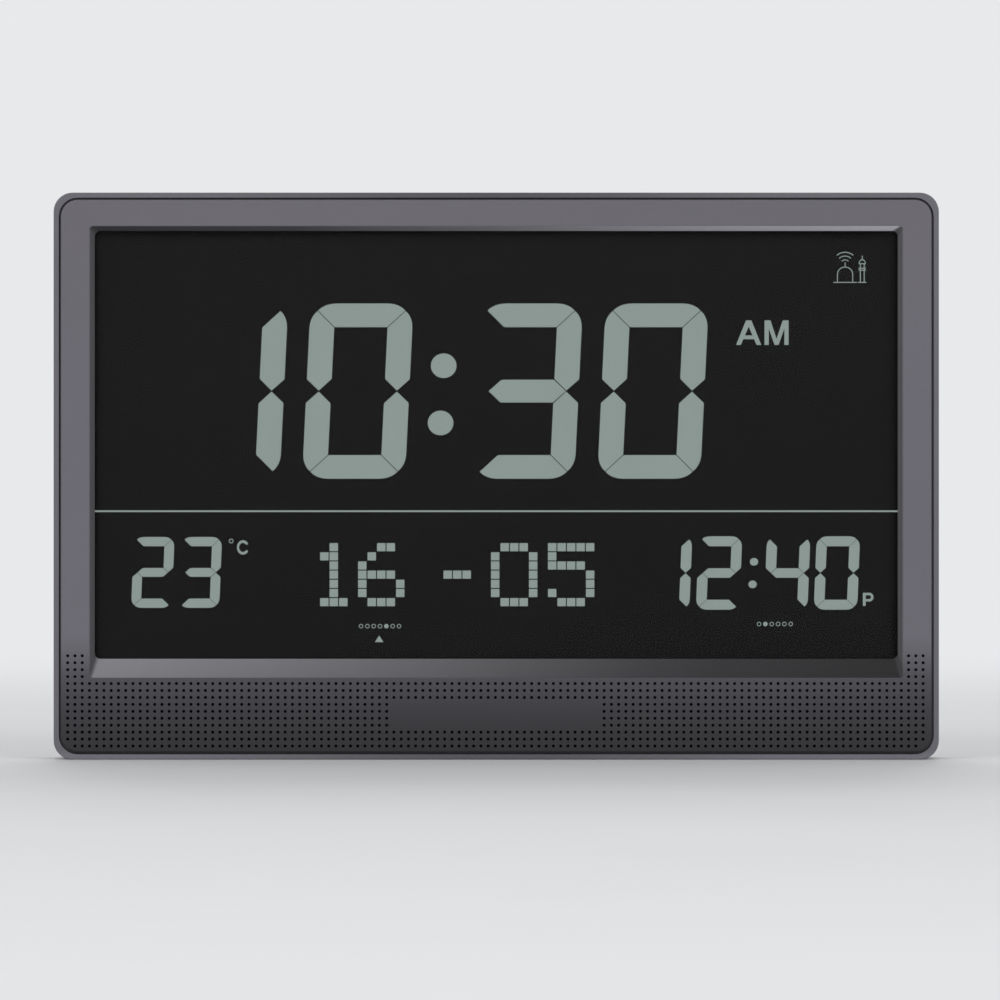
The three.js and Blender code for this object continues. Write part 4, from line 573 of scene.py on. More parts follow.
def battery_look():
    look = Look("battery_sleeve", Metallic=0.25, Coat_Weight=0.3)
    from_middle = look.math("ABSOLUTE", look.math("SUBTRACT", look.z, 0.11085))
    band = look.math("GREATER_THAN", from_middle, 0.0175)
    sleeve = look.mix(band, linear(47, 74, 94), linear(170, 172, 172))
    return look.done(look.mottle(sleeve, 0.04, 40.0, 800.0), (0.28, 0.38, 200.0))


FACE, TOP_BEVEL, LEDGE, SIDE_BEVEL, INSIDE, GAP, CORNER, UPPER_CORNER = range(8)
BEZEL_LOOKS = [
    graded("bezel_face", face_color, 0.4, 0.5),
    graded("bezel_top_bevel", top_bevel_painted_light),
    graded("bezel_ledge", ledge_painted_shading, shine=0.2),
    graded("bezel_side_bevel", side_painted_shade),
    moulded("bezel_inside", (11, 11, 12), shine=0.1),
    # The skirt and its flange in the shadow gap are painted darker than the face: painted shade.
    moulded("bezel_gap_painted_shade", (66, 65, 70)),
    graded("bezel_corner", corner_painted_shading, 0.5, 0.6, 0.1),
    graded("bezel_upper_corner", upper_corner_painted_shading, 0.5, 0.6, 0.1),
]
PLAIN, RIM, SUNK = range(3)
HOUSING_LOOKS = [
    moulded("housing_plastic", (95, 94, 100), 0.5, 0.62, 0.035, 1500.0, 0.22),
    graded("housing_rim", rim_painted_shading, 0.4, 0.5),
    # The sunk places are painted darker than the plain plastic: painted shade in the recesses.
    moulded("housing_sunk_painted_shade", (80, 79, 85), 0.5, 0.62, 0.035, 1500.0, 0.2),
]
key_plastic = moulded("key_plastic", (46, 46, 49), 0.38, 0.48, 0.03, 2200.0, 0.12)
key_paint = moulded("key_paint", (176, 177, 178), 0.5, 0.6, 0.03, 1800.0, 0.1)
black_plastic = moulded("black_plastic", (27, 27, 29), 0.4, 0.52, 0.04, 1800.0, 0.12)
pad_rubber = moulded("pad_rubber", (22, 22, 22), 0.8, 0.9, 0.06, 1400.0, 0.4)
steel = metal("steel", (167, 169, 172), 0.3, 0.42)
spring_nickel = metal("spring_nickel", (185, 188, 192), 0.22, 0.34)

# Looks of the solids that are kept, with what their names start with
CAD_LOOKS = [
    (lens_look(), "display_lens"),
    (lit_look(), "display_glass"),
    (guide_look(), "light_guide"),
    (moulded("led_board", (232, 232, 226), 0.45, 0.55), "led_strip"),
    (moulded("reflector_film", (242, 242, 240), 0.25, 0.35), "reflector_sheet"),
    (black_plastic, "display_holder"),
    (ribbon_look("ribbon_film", (176, 112, 44), (120, 70, 24)), "display_ribbon"),
    (ribbon_look("key_ribbon_film", (216, 212, 200), (150, 148, 140)), "key_ribbon"),
    (board_look(), "main_board key_board"),
    (moulded("chip_plastic", (24, 24, 26), 0.5, 0.6, 0.04, 1200.0, 0.2), "main_chip sound_chip"),
    (steel, "quartz_crystal speaker_frame stand_pin board_screw"),
    (moulded("capacitor_sleeve", (36, 50, 79), 0.35, 0.45), "smoothing_capacitor"),
    (cloth_look(), "speaker_cloth"),
    (moulded("cone_paper", (28, 28, 29), 0.75, 0.85, 0.1, 700.0, 0.3), "speaker_cone"),
    (moulded("magnet_ferrite", (48, 50, 54), 0.55, 0.65, 0.05, 900.0, 0.3), "speaker_magnet"),
    (moulded("red_wire", (168, 35, 28), 0.45, 0.55), "speaker_wire"),
    (moulded("black_wire", (34, 34, 36), 0.45, 0.55), "power_wire battery_wire temperature_sensor"),
    (moulded("control_body", (58, 60, 64), 0.45, 0.55, 0.04, 900.0, 0.1), "volume_control"),
    (spring_nickel, "battery_contact"),
]
for cad_look, cad_names in CAD_LOOKS:
    for cad_name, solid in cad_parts.items():
        if cad_name.startswith(tuple(cad_names.split())):
            for material_slot in solid.material_slots:
                material_slot.material = cad_look


# Front bezel

def grille_places():
    """Rows from the foot up, without the window, the blank and the lowest corners."""
    return [(HOLE_MIDDLE + column * HOLE_PITCH_X, HOLE_LOWEST + row * HOLE_PITCH_Z)
            for row in range(14) for column in range(-59, 60)
            if not (row > 9 and abs(column) < 57 or row == 0 and abs(column) == 59
                    or 3 <= row <= 6 and abs(column) <= 14)]


def bevel_kind(corners, outermost):
    """The bevel or corner of a face at the window's edge."""
    x, z = (sum(c[axis] for c in corners) / 4 for axis in (0, 2))
    if z > 222 and outermost:
        return FACE
    if all(abs(corners[0][axis] - corners[3][axis]) > 1e-6 for axis in (0, 2)):
        return CORNER if z < 100 else UPPER_CORNER
    if abs(x) > 160 and 40 < z < 220:
        return SIDE_BEVEL
    return TOP_BEVEL if z > 200 else LEDGE


def make_bezel():
    shell = Shell()
    skirt = shell.rings(round_rect(BEZEL, BEZEL_CORNER, 8), [
        *rounding(0.7), (2.2, 0.0), (2.2, 0.6), (SKIRT_END, 0.6), (SKIRT_END, -1.8),
        (PANEL_BACK, -1.8)])
    shell.bridges(skirt[:5])
    # Painted shade: the flange and wall in the gap take the darker grey.
    shell.bridges(skirt[4:7], GAP)
    shell.bridges(skirt[6:], INSIDE)

    window = round_rect(WINDOW, 1.2, 6)
    display = round_rect(DISPLAY, 2.4, 6)
    steps = [shell.ring(window, 0.0, 0.25)]
    for share in (0.04, 0.12, 0.9, 0.97):
        loop = [[a + (b - a) * share for a, b in zip(*points)] for points in zip(window, display)]
        steps.append(shell.ring(loop, BEVEL_DEPTH * share))
    steps += shell.rings(display, [(3.28, 0.0), (LENS_FACE, 0.0)])
    first = len(shell.faces)
    shell.bridges(steps, inwards=True)
    for i in range(first, len(shell.faces)):
        corners = [shell.points[p] for p in shell.faces[i]]
        shell.kinds[i] = bevel_kind(corners, i < first + len(window))

    room = shell.rings(round_rect(FENCE_INSIDE, 0.5, 1), [(LENS_FACE, 0.0), (FENCE_END, 0.0)])
    fence = shell.rings(round_rect(FENCE, 0.8, 1), [(FENCE_END, 0.0), (PANEL_BACK, 0.0)])
    shell.fill(room[0], [steps[-1]], INSIDE, away=True)
    shell.bridge(room[1], room[0], INSIDE)
    shell.fill(fence[0], [room[1]], INSIDE, away=True)
    shell.bridge(fence[1], fence[0], INSIDE)

    front_holes, back_holes = [], []
    for x, z in grille_places():
        sounding = hypot(abs(x) - SPEAKER_X, z - SPEAKER_Z) <= SPEAKER_REACH
        mouth, neck, end = shell.rings(circle(x, z, HOLE_RADIUS, 12), [
            (0.0, 0.15), (0.15, 0.0), (PANEL_BACK if sounding else BLIND_DEPTH, 0.0)])
        shell.bridge(neck, mouth)
        shell.bridge(end, neck, INSIDE)
        front_holes.append(mouth)
        if sounding:
            back_holes.append(end)
        else:
            # The bezel's inside is dark plastic; the floor of a blind hole, where the real hole
            # goes through, stands in for the shade behind it as painted shade.
            shell.face(end, INSIDE, True)
    shell.fill(skirt[0], [steps[0], *front_holes])
    shell.fill(skirt[-1], [fence[1], *back_holes], INSIDE, away=True)
    shell.build("front_bezel_shell", "case", BEZEL_LOOKS, "front_bezel")


# Rear housing

def keyhole(x, z):
    head, half, rise = 4.2, 2.3, 8.0
    start = pi / 2 + asin(half / head)
    return [*arc(x, z, head, sweep(start, 3 * pi - start, 24)),
            *arc(x, z + rise, half, sweep(0.0, pi, 12))]


def leg_pocket():
    left, right, low, high = LEG_POCKET
    far_left, far_right, foot, head = NOTCHES
    return rounded([
        (left, low, 1.0), (right, low, 1.0), (right, foot, 0.8), (far_right, foot, 3.0),
        (far_right, head, 3.0), (right, head, 0.8), (right, high, 1.0), (left, high, 1.0),
        (left, head, 0.8), (far_left, head, 3.0), (far_left, foot, 3.0), (left, foot, 0.8)])


def sink_cells(shell):
    """The door's seat, its hinge's room at the foot and the cells' deep room."""
    mouth, seat = shell.recess(round_rect(DOOR_OPENING, 0.8), CASE_DEPTH, DOOR_LEDGE, 0.35,
                               kind=SUNK)
    left, right, low, _ = grown(DOOR_OPENING, -0.25)
    cells_left, cells_right, split, high = CELL_POCKET
    corners = [(left, low), (right, low), (right, split), (cells_right, split),
               (cells_right, high), (cells_left, high), (cells_left, split), (left, split)]

    def chain(order, depth):
        return shell.ring([(*corners[i], 0.0, 0.0) for i in order], depth)

    shell.fill(seat, [chain(range(8), DOOR_LEDGE)], SUNK, away=True)
    for order, far, near in (((6, 7, 0, 1, 2, 3), DOOR_HINGE_FLOOR, DOOR_LEDGE),
                             ((3, 4, 5, 6), CELL_FLOOR, DOOR_LEDGE),
                             ((6, 3), CELL_FLOOR, DOOR_HINGE_FLOOR)):
        shell.bridge(chain(order, far), chain(order, near), SUNK, skip=len(order) - 1)
    for order, depth in (((0, 1, 2, 7), DOOR_HINGE_FLOOR), ((6, 3, 4, 5), CELL_FLOOR)):
        shell.fill(chain(order, depth), away=True, kind=SUNK)
    return mouth


def sink_keys(shell):
    mouth, floor = shell.recess(round_rect(KEY_PANEL, 4.0), CASE_DEPTH, KEY_PANEL_FLOOR, 0.5, 0.4,
                                kind=SUNK)
    loops = [circle(x, KEY_Z, 4.3) for x in KEY_PLACES.values()]
    loops.append(round_rect((WHEEL_X - 1.8, WHEEL_X + 1.8, 187.0, 201.0), 0.5, 2))
    holes = [shell.recess(loop, KEY_PANEL_FLOOR, KEY_PANEL_BACK, 0.25, kind=SUNK)[0]
             for loop in loops]
    shell.fill(floor, holes, SUNK, away=True)
    return mouth


def make_housing():
    shell = Shell()
    outline = round_rect(CASE, CASE_CORNER, 8)
    lining = shell.rings(round_rect(grown(CASE, -2.3), BEZEL_CORNER + 0.8, 8), [
        (12.0, 0.0), (1.3, 0.0), (1.09, 0.09), (1.0, 0.3)])
    shell.bridges(lining, RIM)
    outer = shell.rings(outline, [(1.0 + 0.6 * (1 - cos(t)), -0.6 * (1 - sin(t)))
                                  for t in (0.0, 0.39, 0.79, 1.18, pi / 2)])
    shell.fill(outer[0], [lining[-1]], RIM)
    shell.bridges(outer, RIM)
    fillet = shell.rings(outline, [(CASE_DEPTH - along, grow)
                                   for along, grow in reversed(rounding(2.5, 8))])
    side, after = next((i, j) for i, j in closed(0, len(outline))
                       if outline[i][2] > 0.99 and outline[j][2] > 0.99)
    shell.bridge(outer[-1], fillet[0], skip=side)
    shell.bridges(fillet)

    # The right side wall, with the hole for the power inlet
    wall = [outer[-1][side], fillet[0][side], fillet[0][after], outer[-1][after]]
    shell.plane = SIDE
    mouth, neck, end = shell.rings(circle(INLET_DEPTH, INLET_Z, 4.2), [
        (185.0, 0.3), (184.7, 0.0), (182.7, 0.0)])
    shell.bridge(neck, mouth)
    shell.bridge(end, neck, SUNK)
    shell.fill(wall, [mouth])
    shell.plane = FRONT

    openings = [shell.sunk(leg_pocket(), CASE_DEPTH, POCKET_FLOOR, 0.5, 0.5, SUNK),
                sink_cells(shell), sink_keys(shell)]
    for x, z in SCREW_PLACES:
        openings.append(shell.sunk(circle(x, z, 3.1, 28), CASE_DEPTH, SCREW_SEAT, 0.3, kind=SUNK))
    through = [(keyhole(x, z), 0.3) for x, z in KEYHOLE_PLACES]
    through += [(round_rect((x - 12.0, x + 12.0, z - 0.9, z + 0.9), 0.85, 4), 0.2)
                for x, z in VENT_PLACES]
    for loop, edge in through:
        openings.append(shell.recess(loop, CASE_DEPTH, BACK_INSIDE, edge, kind=SUNK)[0])
    shell.fill(fillet[-1], openings, away=True)
    shell.build("rear_housing_shell", "case", HOUSING_LOOKS, "rear_housing")


# Plates with rounded edges: the stand leg and the battery door

def rounded_plate(shell, loop, front, back, edge, grooves=()):
    """A flat plate with rounded edges and grip grooves: left, right and z."""
    profile = [(front + along, grow) for along, grow in rounding(edge)]
    profile += [(back - along, grow) for along, grow in reversed(rounding(edge))]
    rings = shell.rings(loop, profile)
    shell.bridges(rings)
    shell.fill(rings[0])
    openings = [shell.sunk(round_rect((left, right, z - 0.7, z + 0.7), 0.5, 3),
                           back, back - GROOVE_DEPTH, 0.2, 0.15) for left, right, z in grooves]
    shell.fill(rings[-1], openings, away=True)


def cross_bar(shell, left, right, depth, z, radius, edge=0.2, sides=32, bore=0.0):
    """A round bar from right to left, with eased ends and perhaps a bore."""
    shell.plane = SIDE
    profile = [(radius - edge, right), (radius, right - edge),
               (radius, left + edge), (radius - edge, left)]
    rings = shell.turned(depth, z, profile, sides, near_cap=not bore, far_cap=not bore)
    if bore:
        ends = shell.rings(circle(depth, z, bore, sides), [(right, 0.0), (left, 0.0)])
        shell.fill(rings[0], [ends[0]])
        shell.fill(rings[-1], [ends[1]], away=True)
        shell.bridge(ends[1], ends[0])


def make_leg():
    shell = Shell()
    left, right, foot, top = -30.0, 30.0, 6.0, 116.8
    loop = rounded([(left, foot, 6.0), (right, foot, 6.0), (right, top, 0.5), (left, top, 0.5)], 6)
    grooves = [(-17.0, 17.0, z) for z in (12.0, 15.0, 18.0)]
    rounded_plate(shell, loop, 31.8, PLATE_BACK, 0.5, grooves)
    cross_bar(shell, left, right, 33.2, 116.0, 2.6, 0.4, bore=1.7)
    shell.build("stand_leg_shell", "stand", HOUSING_LOOKS[:1], "stand_leg")


def make_pad():
    shell = Shell()
    rounded_plate(shell, round_rect((-20.0, 20.0, 4.8, 7.8), 0.6, 4), 32.9, 34.7, 0.35)
    shell.build("stand_pad_rubber", "stand", [pad_rubber], "stand_foot_pad")


def make_door():
    shell = Shell()
    left, right, foot, top = -121.95, -86.05, 79.95, 142.7
    loop = rounded([(left, foot, 0.4), (right, foot, 0.4), (right, top, 1.0), (left, top, 1.0)], 4)
    grooves = [(-113.0, -95.0, z) for z in (132.3, 135.3, 138.3)]
    rounded_plate(shell, loop, 33.8, PLATE_BACK, 0.35, grooves)
    cross_bar(shell, left, right, DOOR_HINGE_DEPTH, DOOR_HINGE_Z, 1.5)
    cross_bar(shell, left - 1.4, right + 1.4, DOOR_HINGE_DEPTH, DOOR_HINGE_Z, 0.9, sides=20)
    shell.build("battery_door_shell", "battery_door", HOUSING_LOOKS[:1],
                "battery_door")


# Keys, wheel, inlet and screws

def plus_outline(x, z, a, b):
    """A plus sign of reach a, with arms of half width b."""
    corners = [(-b, -a), (b, -a), (b, -b), (a, -b), (a, b), (b, b),
               (b, a), (-b, a), (-b, b), (-a, b), (-a, -b), (-b, -b)]
    return rounded([(x + u, z + v, 0.12) for u, v in corners], 2)


def key_marks(name, x, z):
    """Plain marks sunk in the keys' tops and filled with pale paint."""
    if name == "mode":
        return [round_rect((x - 1.3, x + 1.3, z + up - 0.25, z + up + 0.25), 0.2, 2)
                for up in (-1.1, 0.0, 1.1)]
    if name == "set":
        return [circle(x, z, 0.8, 20)]
    if name == "up":
        return [rounded([(x - 1.5, z - 0.9, 0.2), (x + 1.5, z - 0.9, 0.2), (x, z + 1.4, 0.2)], 2)]
    if name == "down":
        return [rounded([(x - 1.5, z + 0.9, 0.2), (x, z - 1.4, 0.2), (x + 1.5, z + 0.9, 0.2)], 2)]
    if name == "alarm":
        bell = [(x - 1.4, z - 0.6, 0.15), (x + 1.4, z - 0.6, 0.15),
                (x + 0.8, z + 1.1, 0.6), (x - 0.8, z + 1.1, 0.6)]
        return [rounded(bell, 3), round_rect((x - 0.4, x + 0.4, z - 1.3, z - 0.95), 0.15, 2)]
    return [plus_outline(x, z, 1.3, 0.28)]


def make_key(name, x):
    shell = Shell()
    profile = [(5.2, 29.7), (5.2, 30.9), (4.05, 30.95), (4.0, 31.2), (4.0, 34.55), (3.93, 34.86),
               (3.75, 35.08), (3.45, 35.2), (3.0, 35.27), (2.4, KEY_TOP)]
    rings = shell.turned(x, KEY_Z, profile, 40)
    marks = [shell.sunk(loop, KEY_TOP, KEY_TOP - 0.1, 0.04, floor_kind=1)
             for loop in key_marks(name, x, KEY_Z)]
    shell.fill(rings[-1], marks, away=True)
    shell.build(f"{name}_key_cap", f"{name}_key", [key_plastic, key_paint],
                f"{name}_key")


def make_wheel():
    shell = Shell(SIDE)
    tip, root, count = 6.95, 6.5, 128
    loop = [arc(WHEEL_DEPTH, KEY_Z, (tip, tip, root, root)[i % 4], [tau * (i + 0.5) / count])[0]
            for i in range(count)]
    profile = [(1.5, -0.35), (1.15, 0.0), (-1.15, 0.0), (-1.5, -0.35)]
    rings = shell.rings(loop, [(WHEEL_X + aside, grow) for aside, grow in profile])
    shell.bridges(rings)
    dish = circle(WHEEL_DEPTH, KEY_Z, 4.6)
    mouth, floor = shell.recess(dish, WHEEL_X + 1.5, WHEEL_X + 1.0, 0.2)
    shell.fill(rings[0], [mouth])
    shell.fill(floor)
    shell.fill(rings[-1], away=True)
    cross_bar(shell, WHEEL_X - 6.5, WHEEL_X - 1.4, WHEEL_DEPTH, KEY_Z, 1.5, sides=20)
    shell.build("volume_wheel_disc", "volume_wheel", [key_plastic], "volume_wheel")


def make_inlet():
    shell = Shell(SIDE)
    near, far = shell.rings(round_rect((19.85, 28.85, 56.5, 67.5), 0.6, 3),
                            [(182.4, 0.0), (168.4, 0.0)])
    shell.bridge(near, far)
    nose = [(3.9, 182.4), (3.9, 184.45), (3.7, 184.7), (3.3, 184.7), (3.1, 184.45), (3.1, 174.7)]
    rings = shell.turned(INLET_DEPTH, INLET_Z, nose, 40, near_cap=False, hollow=True)
    shell.fill(near, [rings[0]])
    shell.fill(far, away=True)
    shell.fill(rings[-1])
    pin = [(0.35, 183.7), (0.75, 183.6), (1.0, 183.2), (1.0, 174.6)]
    shell.turned(INLET_DEPTH, INLET_Z, pin, 20, kind=1)
    shell.build("power_inlet_socket", "case", [black_plastic, spring_nickel],
                "power_inlet")


def make_screw(number, x, z):
    shell = Shell()
    under = SCREW_SEAT + 0.3
    head = under + 1.65
    profile = [(0.2, under - 12.0), (1.5, under - 11.0), (1.5, under), (2.75, under),
               (2.8, under + 0.3), (2.6, under + 1.3), (2.2, under + 1.6), (1.9, head)]
    rings = shell.turned(x, z, profile, 28)
    cross = shell.sunk(plus_outline(x, z, 1.55, 0.42), head, head - 0.8, 0.06)
    shell.fill(rings[-1], [cross], away=True)
    shell.build(f"case_screw_{number}_head", "case", [steel], f"case_screw_{number}")


# Cells and springs

def make_cell(number, x, foot, up):
    shell = Shell(TOP)
    profile = [(6.4, 0.0), (6.9, 0.1), (7.15, 0.4), (7.2, 1.2), (7.25, 1.6), (7.25, 47.6),
               (7.15, 48.6), (6.8, 49.1), (6.2, 49.3), (2.75, 49.3), (2.75, 50.1), (2.4, 50.5)]
    places = [(radius, foot + up * rise) for radius, rise in profile]
    shell.turned(x, CELL_DEPTH, places[::-up], 48, far_cap=True)
    for i, face in enumerate(shell.faces):
        corners = [shell.points[p] for p in face]
        rise = (sum(c[2] for c in corners) / len(corners) - foot) * up
        radius = max(hypot(c[0] - x, c[1] - CELL_DEPTH) for c in corners)
        shell.kinds[i] = 0 if 0.3 < rise < 49.2 and radius > 6.5 else 1
    name = f"battery_{number}"
    shell.build(f"{name}_cell", "case", [battery_sleeve, spring_nickel], name)


def make_spring(number, x, plate, up):
    shell = Shell(TOP)
    loop = round_rect((x - 5.5, x + 5.5, CELL_DEPTH - 5.5, CELL_DEPTH + 5.5), 0.5, 3)
    upper, lower = (shell.ring(loop, z) for z in sorted((plate, plate + up * 0.5), reverse=True))
    shell.bridge(upper, lower)
    shell.fill(upper)
    shell.fill(lower, away=True)
    turns, wire, previous = 3, 0.38, None
    for share in sweep(0.0, 1.0, 72):
        turn, radius = share * turns * tau, 4.0 - 1.6 * share
        z = plate + up * (0.75 + share * 4.1)
        first = len(shell.points)
        for out, rise, *_ in circle(0.0, 0.0, wire, 8):
            reach = radius + out
            shell.points.append([x + reach * cos(turn), CELL_DEPTH + reach * sin(turn), z + rise])
        points = range(first, len(shell.points))
        if previous:
            shell.bridge(points, previous)
        else:
            shell.face(points)
        previous = points
    shell.face(reversed(previous))
    name = f"battery_spring_{number}"
    shell.build(f"{name}_coil", "case", [spring_nickel], name)


# Figures on the display

SQUEEZE = 0.955
STROKES_OF = {"0": "abcdef", "1": "bc", "2": "abged", "3": "abgcd", "4": "fgbc"}


def flipped(points):
    return [(-a, b) for a, b in points]


def lowered(points):
    return [(a, -b) for a, b in points]


def strokes(width, height, stroke, corner, gap):
    """The seven strokes of a figure round its middle, with mitred joints."""
    x, z, g = width / 2, height / 2, gap / 2

    def curve(first, last):
        return [(x - corner + corner * sin(t), z - corner + corner * cos(t))
                for t in sweep(first, last, 4)]

    upper, lower = curve(pi / 4, 0.0), curve(pi / 2, pi / 4)
    middle_x, middle_z = upper[0]
    top = [(x - stroke - g, z - stroke), (middle_x - g, middle_z), *upper[1:]]
    right = [(x - stroke / 2, g), (x, stroke / 2), *lower[:-1], (middle_x, middle_z - g),
             (x - stroke, z - stroke - g), (x - stroke, stroke / 2 + g)]
    bar = [(x - stroke - g, g - stroke / 2), (x - stroke / 2 - g, 0.0),
           (x - stroke - g, stroke / 2 - g)]
    top += flipped(reversed(top))
    bar += flipped(reversed(bar))
    return {"a": top, "b": right, "c": lowered(right), "d": lowered(top),
            "e": flipped(lowered(right)), "f": flipped(right), "g": bar}


def figures(digits, places, z, width, height, stroke, corner, gap, slant):
    """A row of figures, drawn taller and squeezed to thin the level strokes."""
    made = strokes(width, height / SQUEEZE, stroke, corner, gap)
    return [[(x + u + v * SQUEEZE * slant, z + v * SQUEEZE) for u, v in made[name]]
            for digit, x in zip(digits, places) for name in STROKES_OF[digit]]


def disc(x, z, radius_x, radius_z, sides=28):
    return [(x + radius_x * u, z + radius_z * v) for u, v, *_ in circle(0.0, 0.0, 1.0, sides)]


def line(points, width):
    """A thin line through points, one band for each stretch."""
    bands = []
    for (ax, az), (bx, bz) in zip(points, points[1:]):
        length = hypot(bx - ax, bz - az)
        u, v = (bx - ax) / length * width / 2, (bz - az) / length * width / 2
        bands.append([(ax - u - v, az - v + u), (ax - u + v, az - v - u),
                      (bx + u + v, bz + v - u), (bx + u - v, bz + v + u)])
    return bands


def ring_band(x, z, radius, width, first=0.0, last=tau, steps=24):
    points = [point[:2] for point in arc(x, z, radius, sweep(first, last, steps))]
    return line(points, width)


# The date in square dots, each sign with its first column
DOT_SIGNS = {
    0: ("..#..", ".##..", "..#..", "..#..", "..#..", "..#..", ".###."),
    5: ("..##.", ".#...", "#....", "####.", "#...#", "#...#", ".###."),
    13: (".....", ".....", ".....", ".###.", ".....", ".....", "....."),
    19: (".###.", "#...#", "#...#", "#...#", "#...#", "#...#", ".###."),
    25: ("#####", "#....", "####.", "....#", "....#", "#...#", ".###."),
}
DOT_LEFT, DOT_TOP = -77.72, 90.47
DOT_PITCH_X, DOT_PITCH_Z = 3.974, 3.836
DOT_WIDTH, DOT_HEIGHT = 3.54, 3.42


def date_shapes():
    shapes = []
    for first, rows in DOT_SIGNS.items():
        for down, row in enumerate(rows):
            for column, mark in enumerate(row, first):
                if mark == "#":
                    left = DOT_LEFT + column * DOT_PITCH_X
                    top = DOT_TOP - down * DOT_PITCH_Z
                    shapes.append(box(left, left + DOT_WIDTH, top - DOT_HEIGHT, top))
    return shapes


def letter_shapes():
    """AM, P and the sign for degrees C."""
    foot, cap = 173.4, 10.3
    slabs = (  # left end, low and high edge, and the four corners
        (100.4, 0.0, cap, 0.0, 2.0, 6.4, 4.15), (100.4, 0.0, cap, 8.55, 10.55, 6.4, 4.15),
        (100.4, 2.4, 4.0, 2.4, 8.2, 7.6, 3.0), (112.28, 0.0, cap, 0.0, 1.8, 1.8, 0.0),
        (112.28, 0.0, cap, 8.32, 10.12, 10.12, 8.32), (112.28, 0.0, cap, 4.2, 5.92, 2.5, 0.6),
        (112.28, 0.0, cap, 4.2, 5.92, 9.52, 7.62))
    shapes = [[(left + a, foot + low), (left + b, foot + low),
               (left + c, foot + high), (left + d, foot + high)]
              for left, low, high, a, b, c, d in slabs]
    left, foot = 153.45, 64.15
    shapes.append(box(left, left + 1.2, foot, foot + 5.5))
    for rise in (5.0, 2.4):
        shapes += line([(left + 0.5, foot + rise), (left + 2.6, foot + rise)], 1.0)
    shapes += ring_band(left + 2.6, foot + 3.7, 1.3, 1.0, -pi / 2, pi / 2, 12)
    shapes += ring_band(-110.96, 91.35, 0.8, 0.34)
    x, z, narrow, opening = -106.0, 88.65, 0.85, 0.75
    shapes += [[(u * narrow + x * (1 - narrow), v) for u, v in band]
               for band in ring_band(x, z, 2.45, 1.05, opening, tau - opening, 22)]
    return shapes


def icon_shapes():
    """A small dome between a tower and sound waves, in thin outline."""
    x, z, width = 141.2, 199.4, 0.4
    dome = [(1.6 + 3.2 * (1 - cos(t)), 3.6 + 3.0 * sin(t)) for t in sweep(0.0, pi, 12)]
    cap = [(12.0 - 1.3 * cos(t), 8.0 + 1.7 * sin(t)) for t in sweep(0.0, pi, 10)]
    shapes = []
    for points in ([(0.0, 0.2), (9.6, 0.2)], [(1.6, 0.2), *dome, (8.0, 0.2)],
                   [(4.8, 6.6), (4.8, 8.4)], [(11.2, 0.2), (11.2, 7.9)],
                   [(12.8, 0.2), (12.8, 7.9)], [(10.6, 5.3), (13.4, 5.3)],
                   [(10.6, 6.1), (13.4, 6.1)], [*cap, cap[0]],
                   [(12.0, 9.6), (12.0, 11.2)], [(10.4, 0.2), (13.6, 0.2)]):
        shapes += line([(x + u, z + v) for u, v in points], width)
    for radius in (2.0, 3.6, 5.2):
        shapes += ring_band(x + 4.8, z + 7.6, radius, width, pi * 0.28, pi * 0.72, 12)
    return shapes


def marker_row(left, z, count, chosen):
    """A row of small round marks, one of them filled."""
    shapes = []
    for i in range(count):
        x = left + i * 2.65
        if i == chosen:
            shapes.append(disc(x, z, 0.95, 0.95, 18))
        else:
            shapes += ring_band(x, z, 0.78, 0.3, steps=16)
    return shapes


def display_shapes():
    """Everything that is lit, as polygons in x and z."""
    return [
        box(-168.0, 168.0, 103.43, 104.18),
        *figures("1030", (-110.4, -57.95, 12.95, 65.6),
                 154.08, 43.1, 73.38, 10.4, 10.6, 0.38, 0.0485),
        disc(-22.0, 164.7, 5.39, 5.18), disc(-23.3, 140.75, 5.39, 5.18),
        *figures("23", (-143.75, -123.85), 78.2, 17.0, 29.7, 4.1, 4.2, 0.2, 0.04),
        *figures("1240", (72.35, 93.27, 121.8, 142.6), 77.95, 18.2, 30.75, 4.4, 4.5, 0.2, 0.04),
        disc(107.9, 82.65, 1.75, 1.62), disc(107.3, 73.2, 1.75, 1.62),
        *date_shapes(), *letter_shapes(), *icon_shapes(),
        *marker_row(-56.6, 55.7, 7, 4), [(-50.8, 49.0), (-47.2, 49.0), (-49.0, 51.8)],
        *marker_row(110.0, 56.6, 6, 1)]


def make_mask():
    """Black film with the figures cut out, so that the lit glass shows through."""
    shell = Shell()
    shapes = display_shapes()
    flat, edges = [], []
    for polygon in [box(*LENS), *shapes]:
        edges += closed(len(flat), len(polygon))
        flat += [Vector(p) for p in polygon]
    verts, _, triangles, _, _, _ = delaunay_2d_cdt(flat, edges, [], 1, 1e-5, False)
    shell.points = [[x, depth, z] for depth in (FILM_FRONT, FILM_BACK) for x, z in verts]
    bounds = [[end(p[axis] for p in s) for axis in (0, 1) for end in (min, max)] for s in shapes]
    count, used = len(verts), {}
    for a, b, c in triangles:
        x, z = (verts[a] + verts[b] + verts[c]) / 3
        if (verts[b] - verts[a]).cross(verts[c] - verts[a]) < 0:
            b, c = c, b
        if any(left <= x <= right and low <= z <= high and inside((x, z), shape)
               for (left, right, low, high), shape in zip(bounds, shapes)):
            continue
        shell.face((a, b, c), 0, True)
        shell.face((c + count, b + count, a + count), 0, True)
        used.update(dict.fromkeys(((a, b), (b, c), (c, a))))
    for a, b in used:
        if (b, a) not in used:
            shell.face((a, a + count, b + count, b), 0, True)
    shell.build("display_mask_film", "case", [mask_look()], "segment_mask")


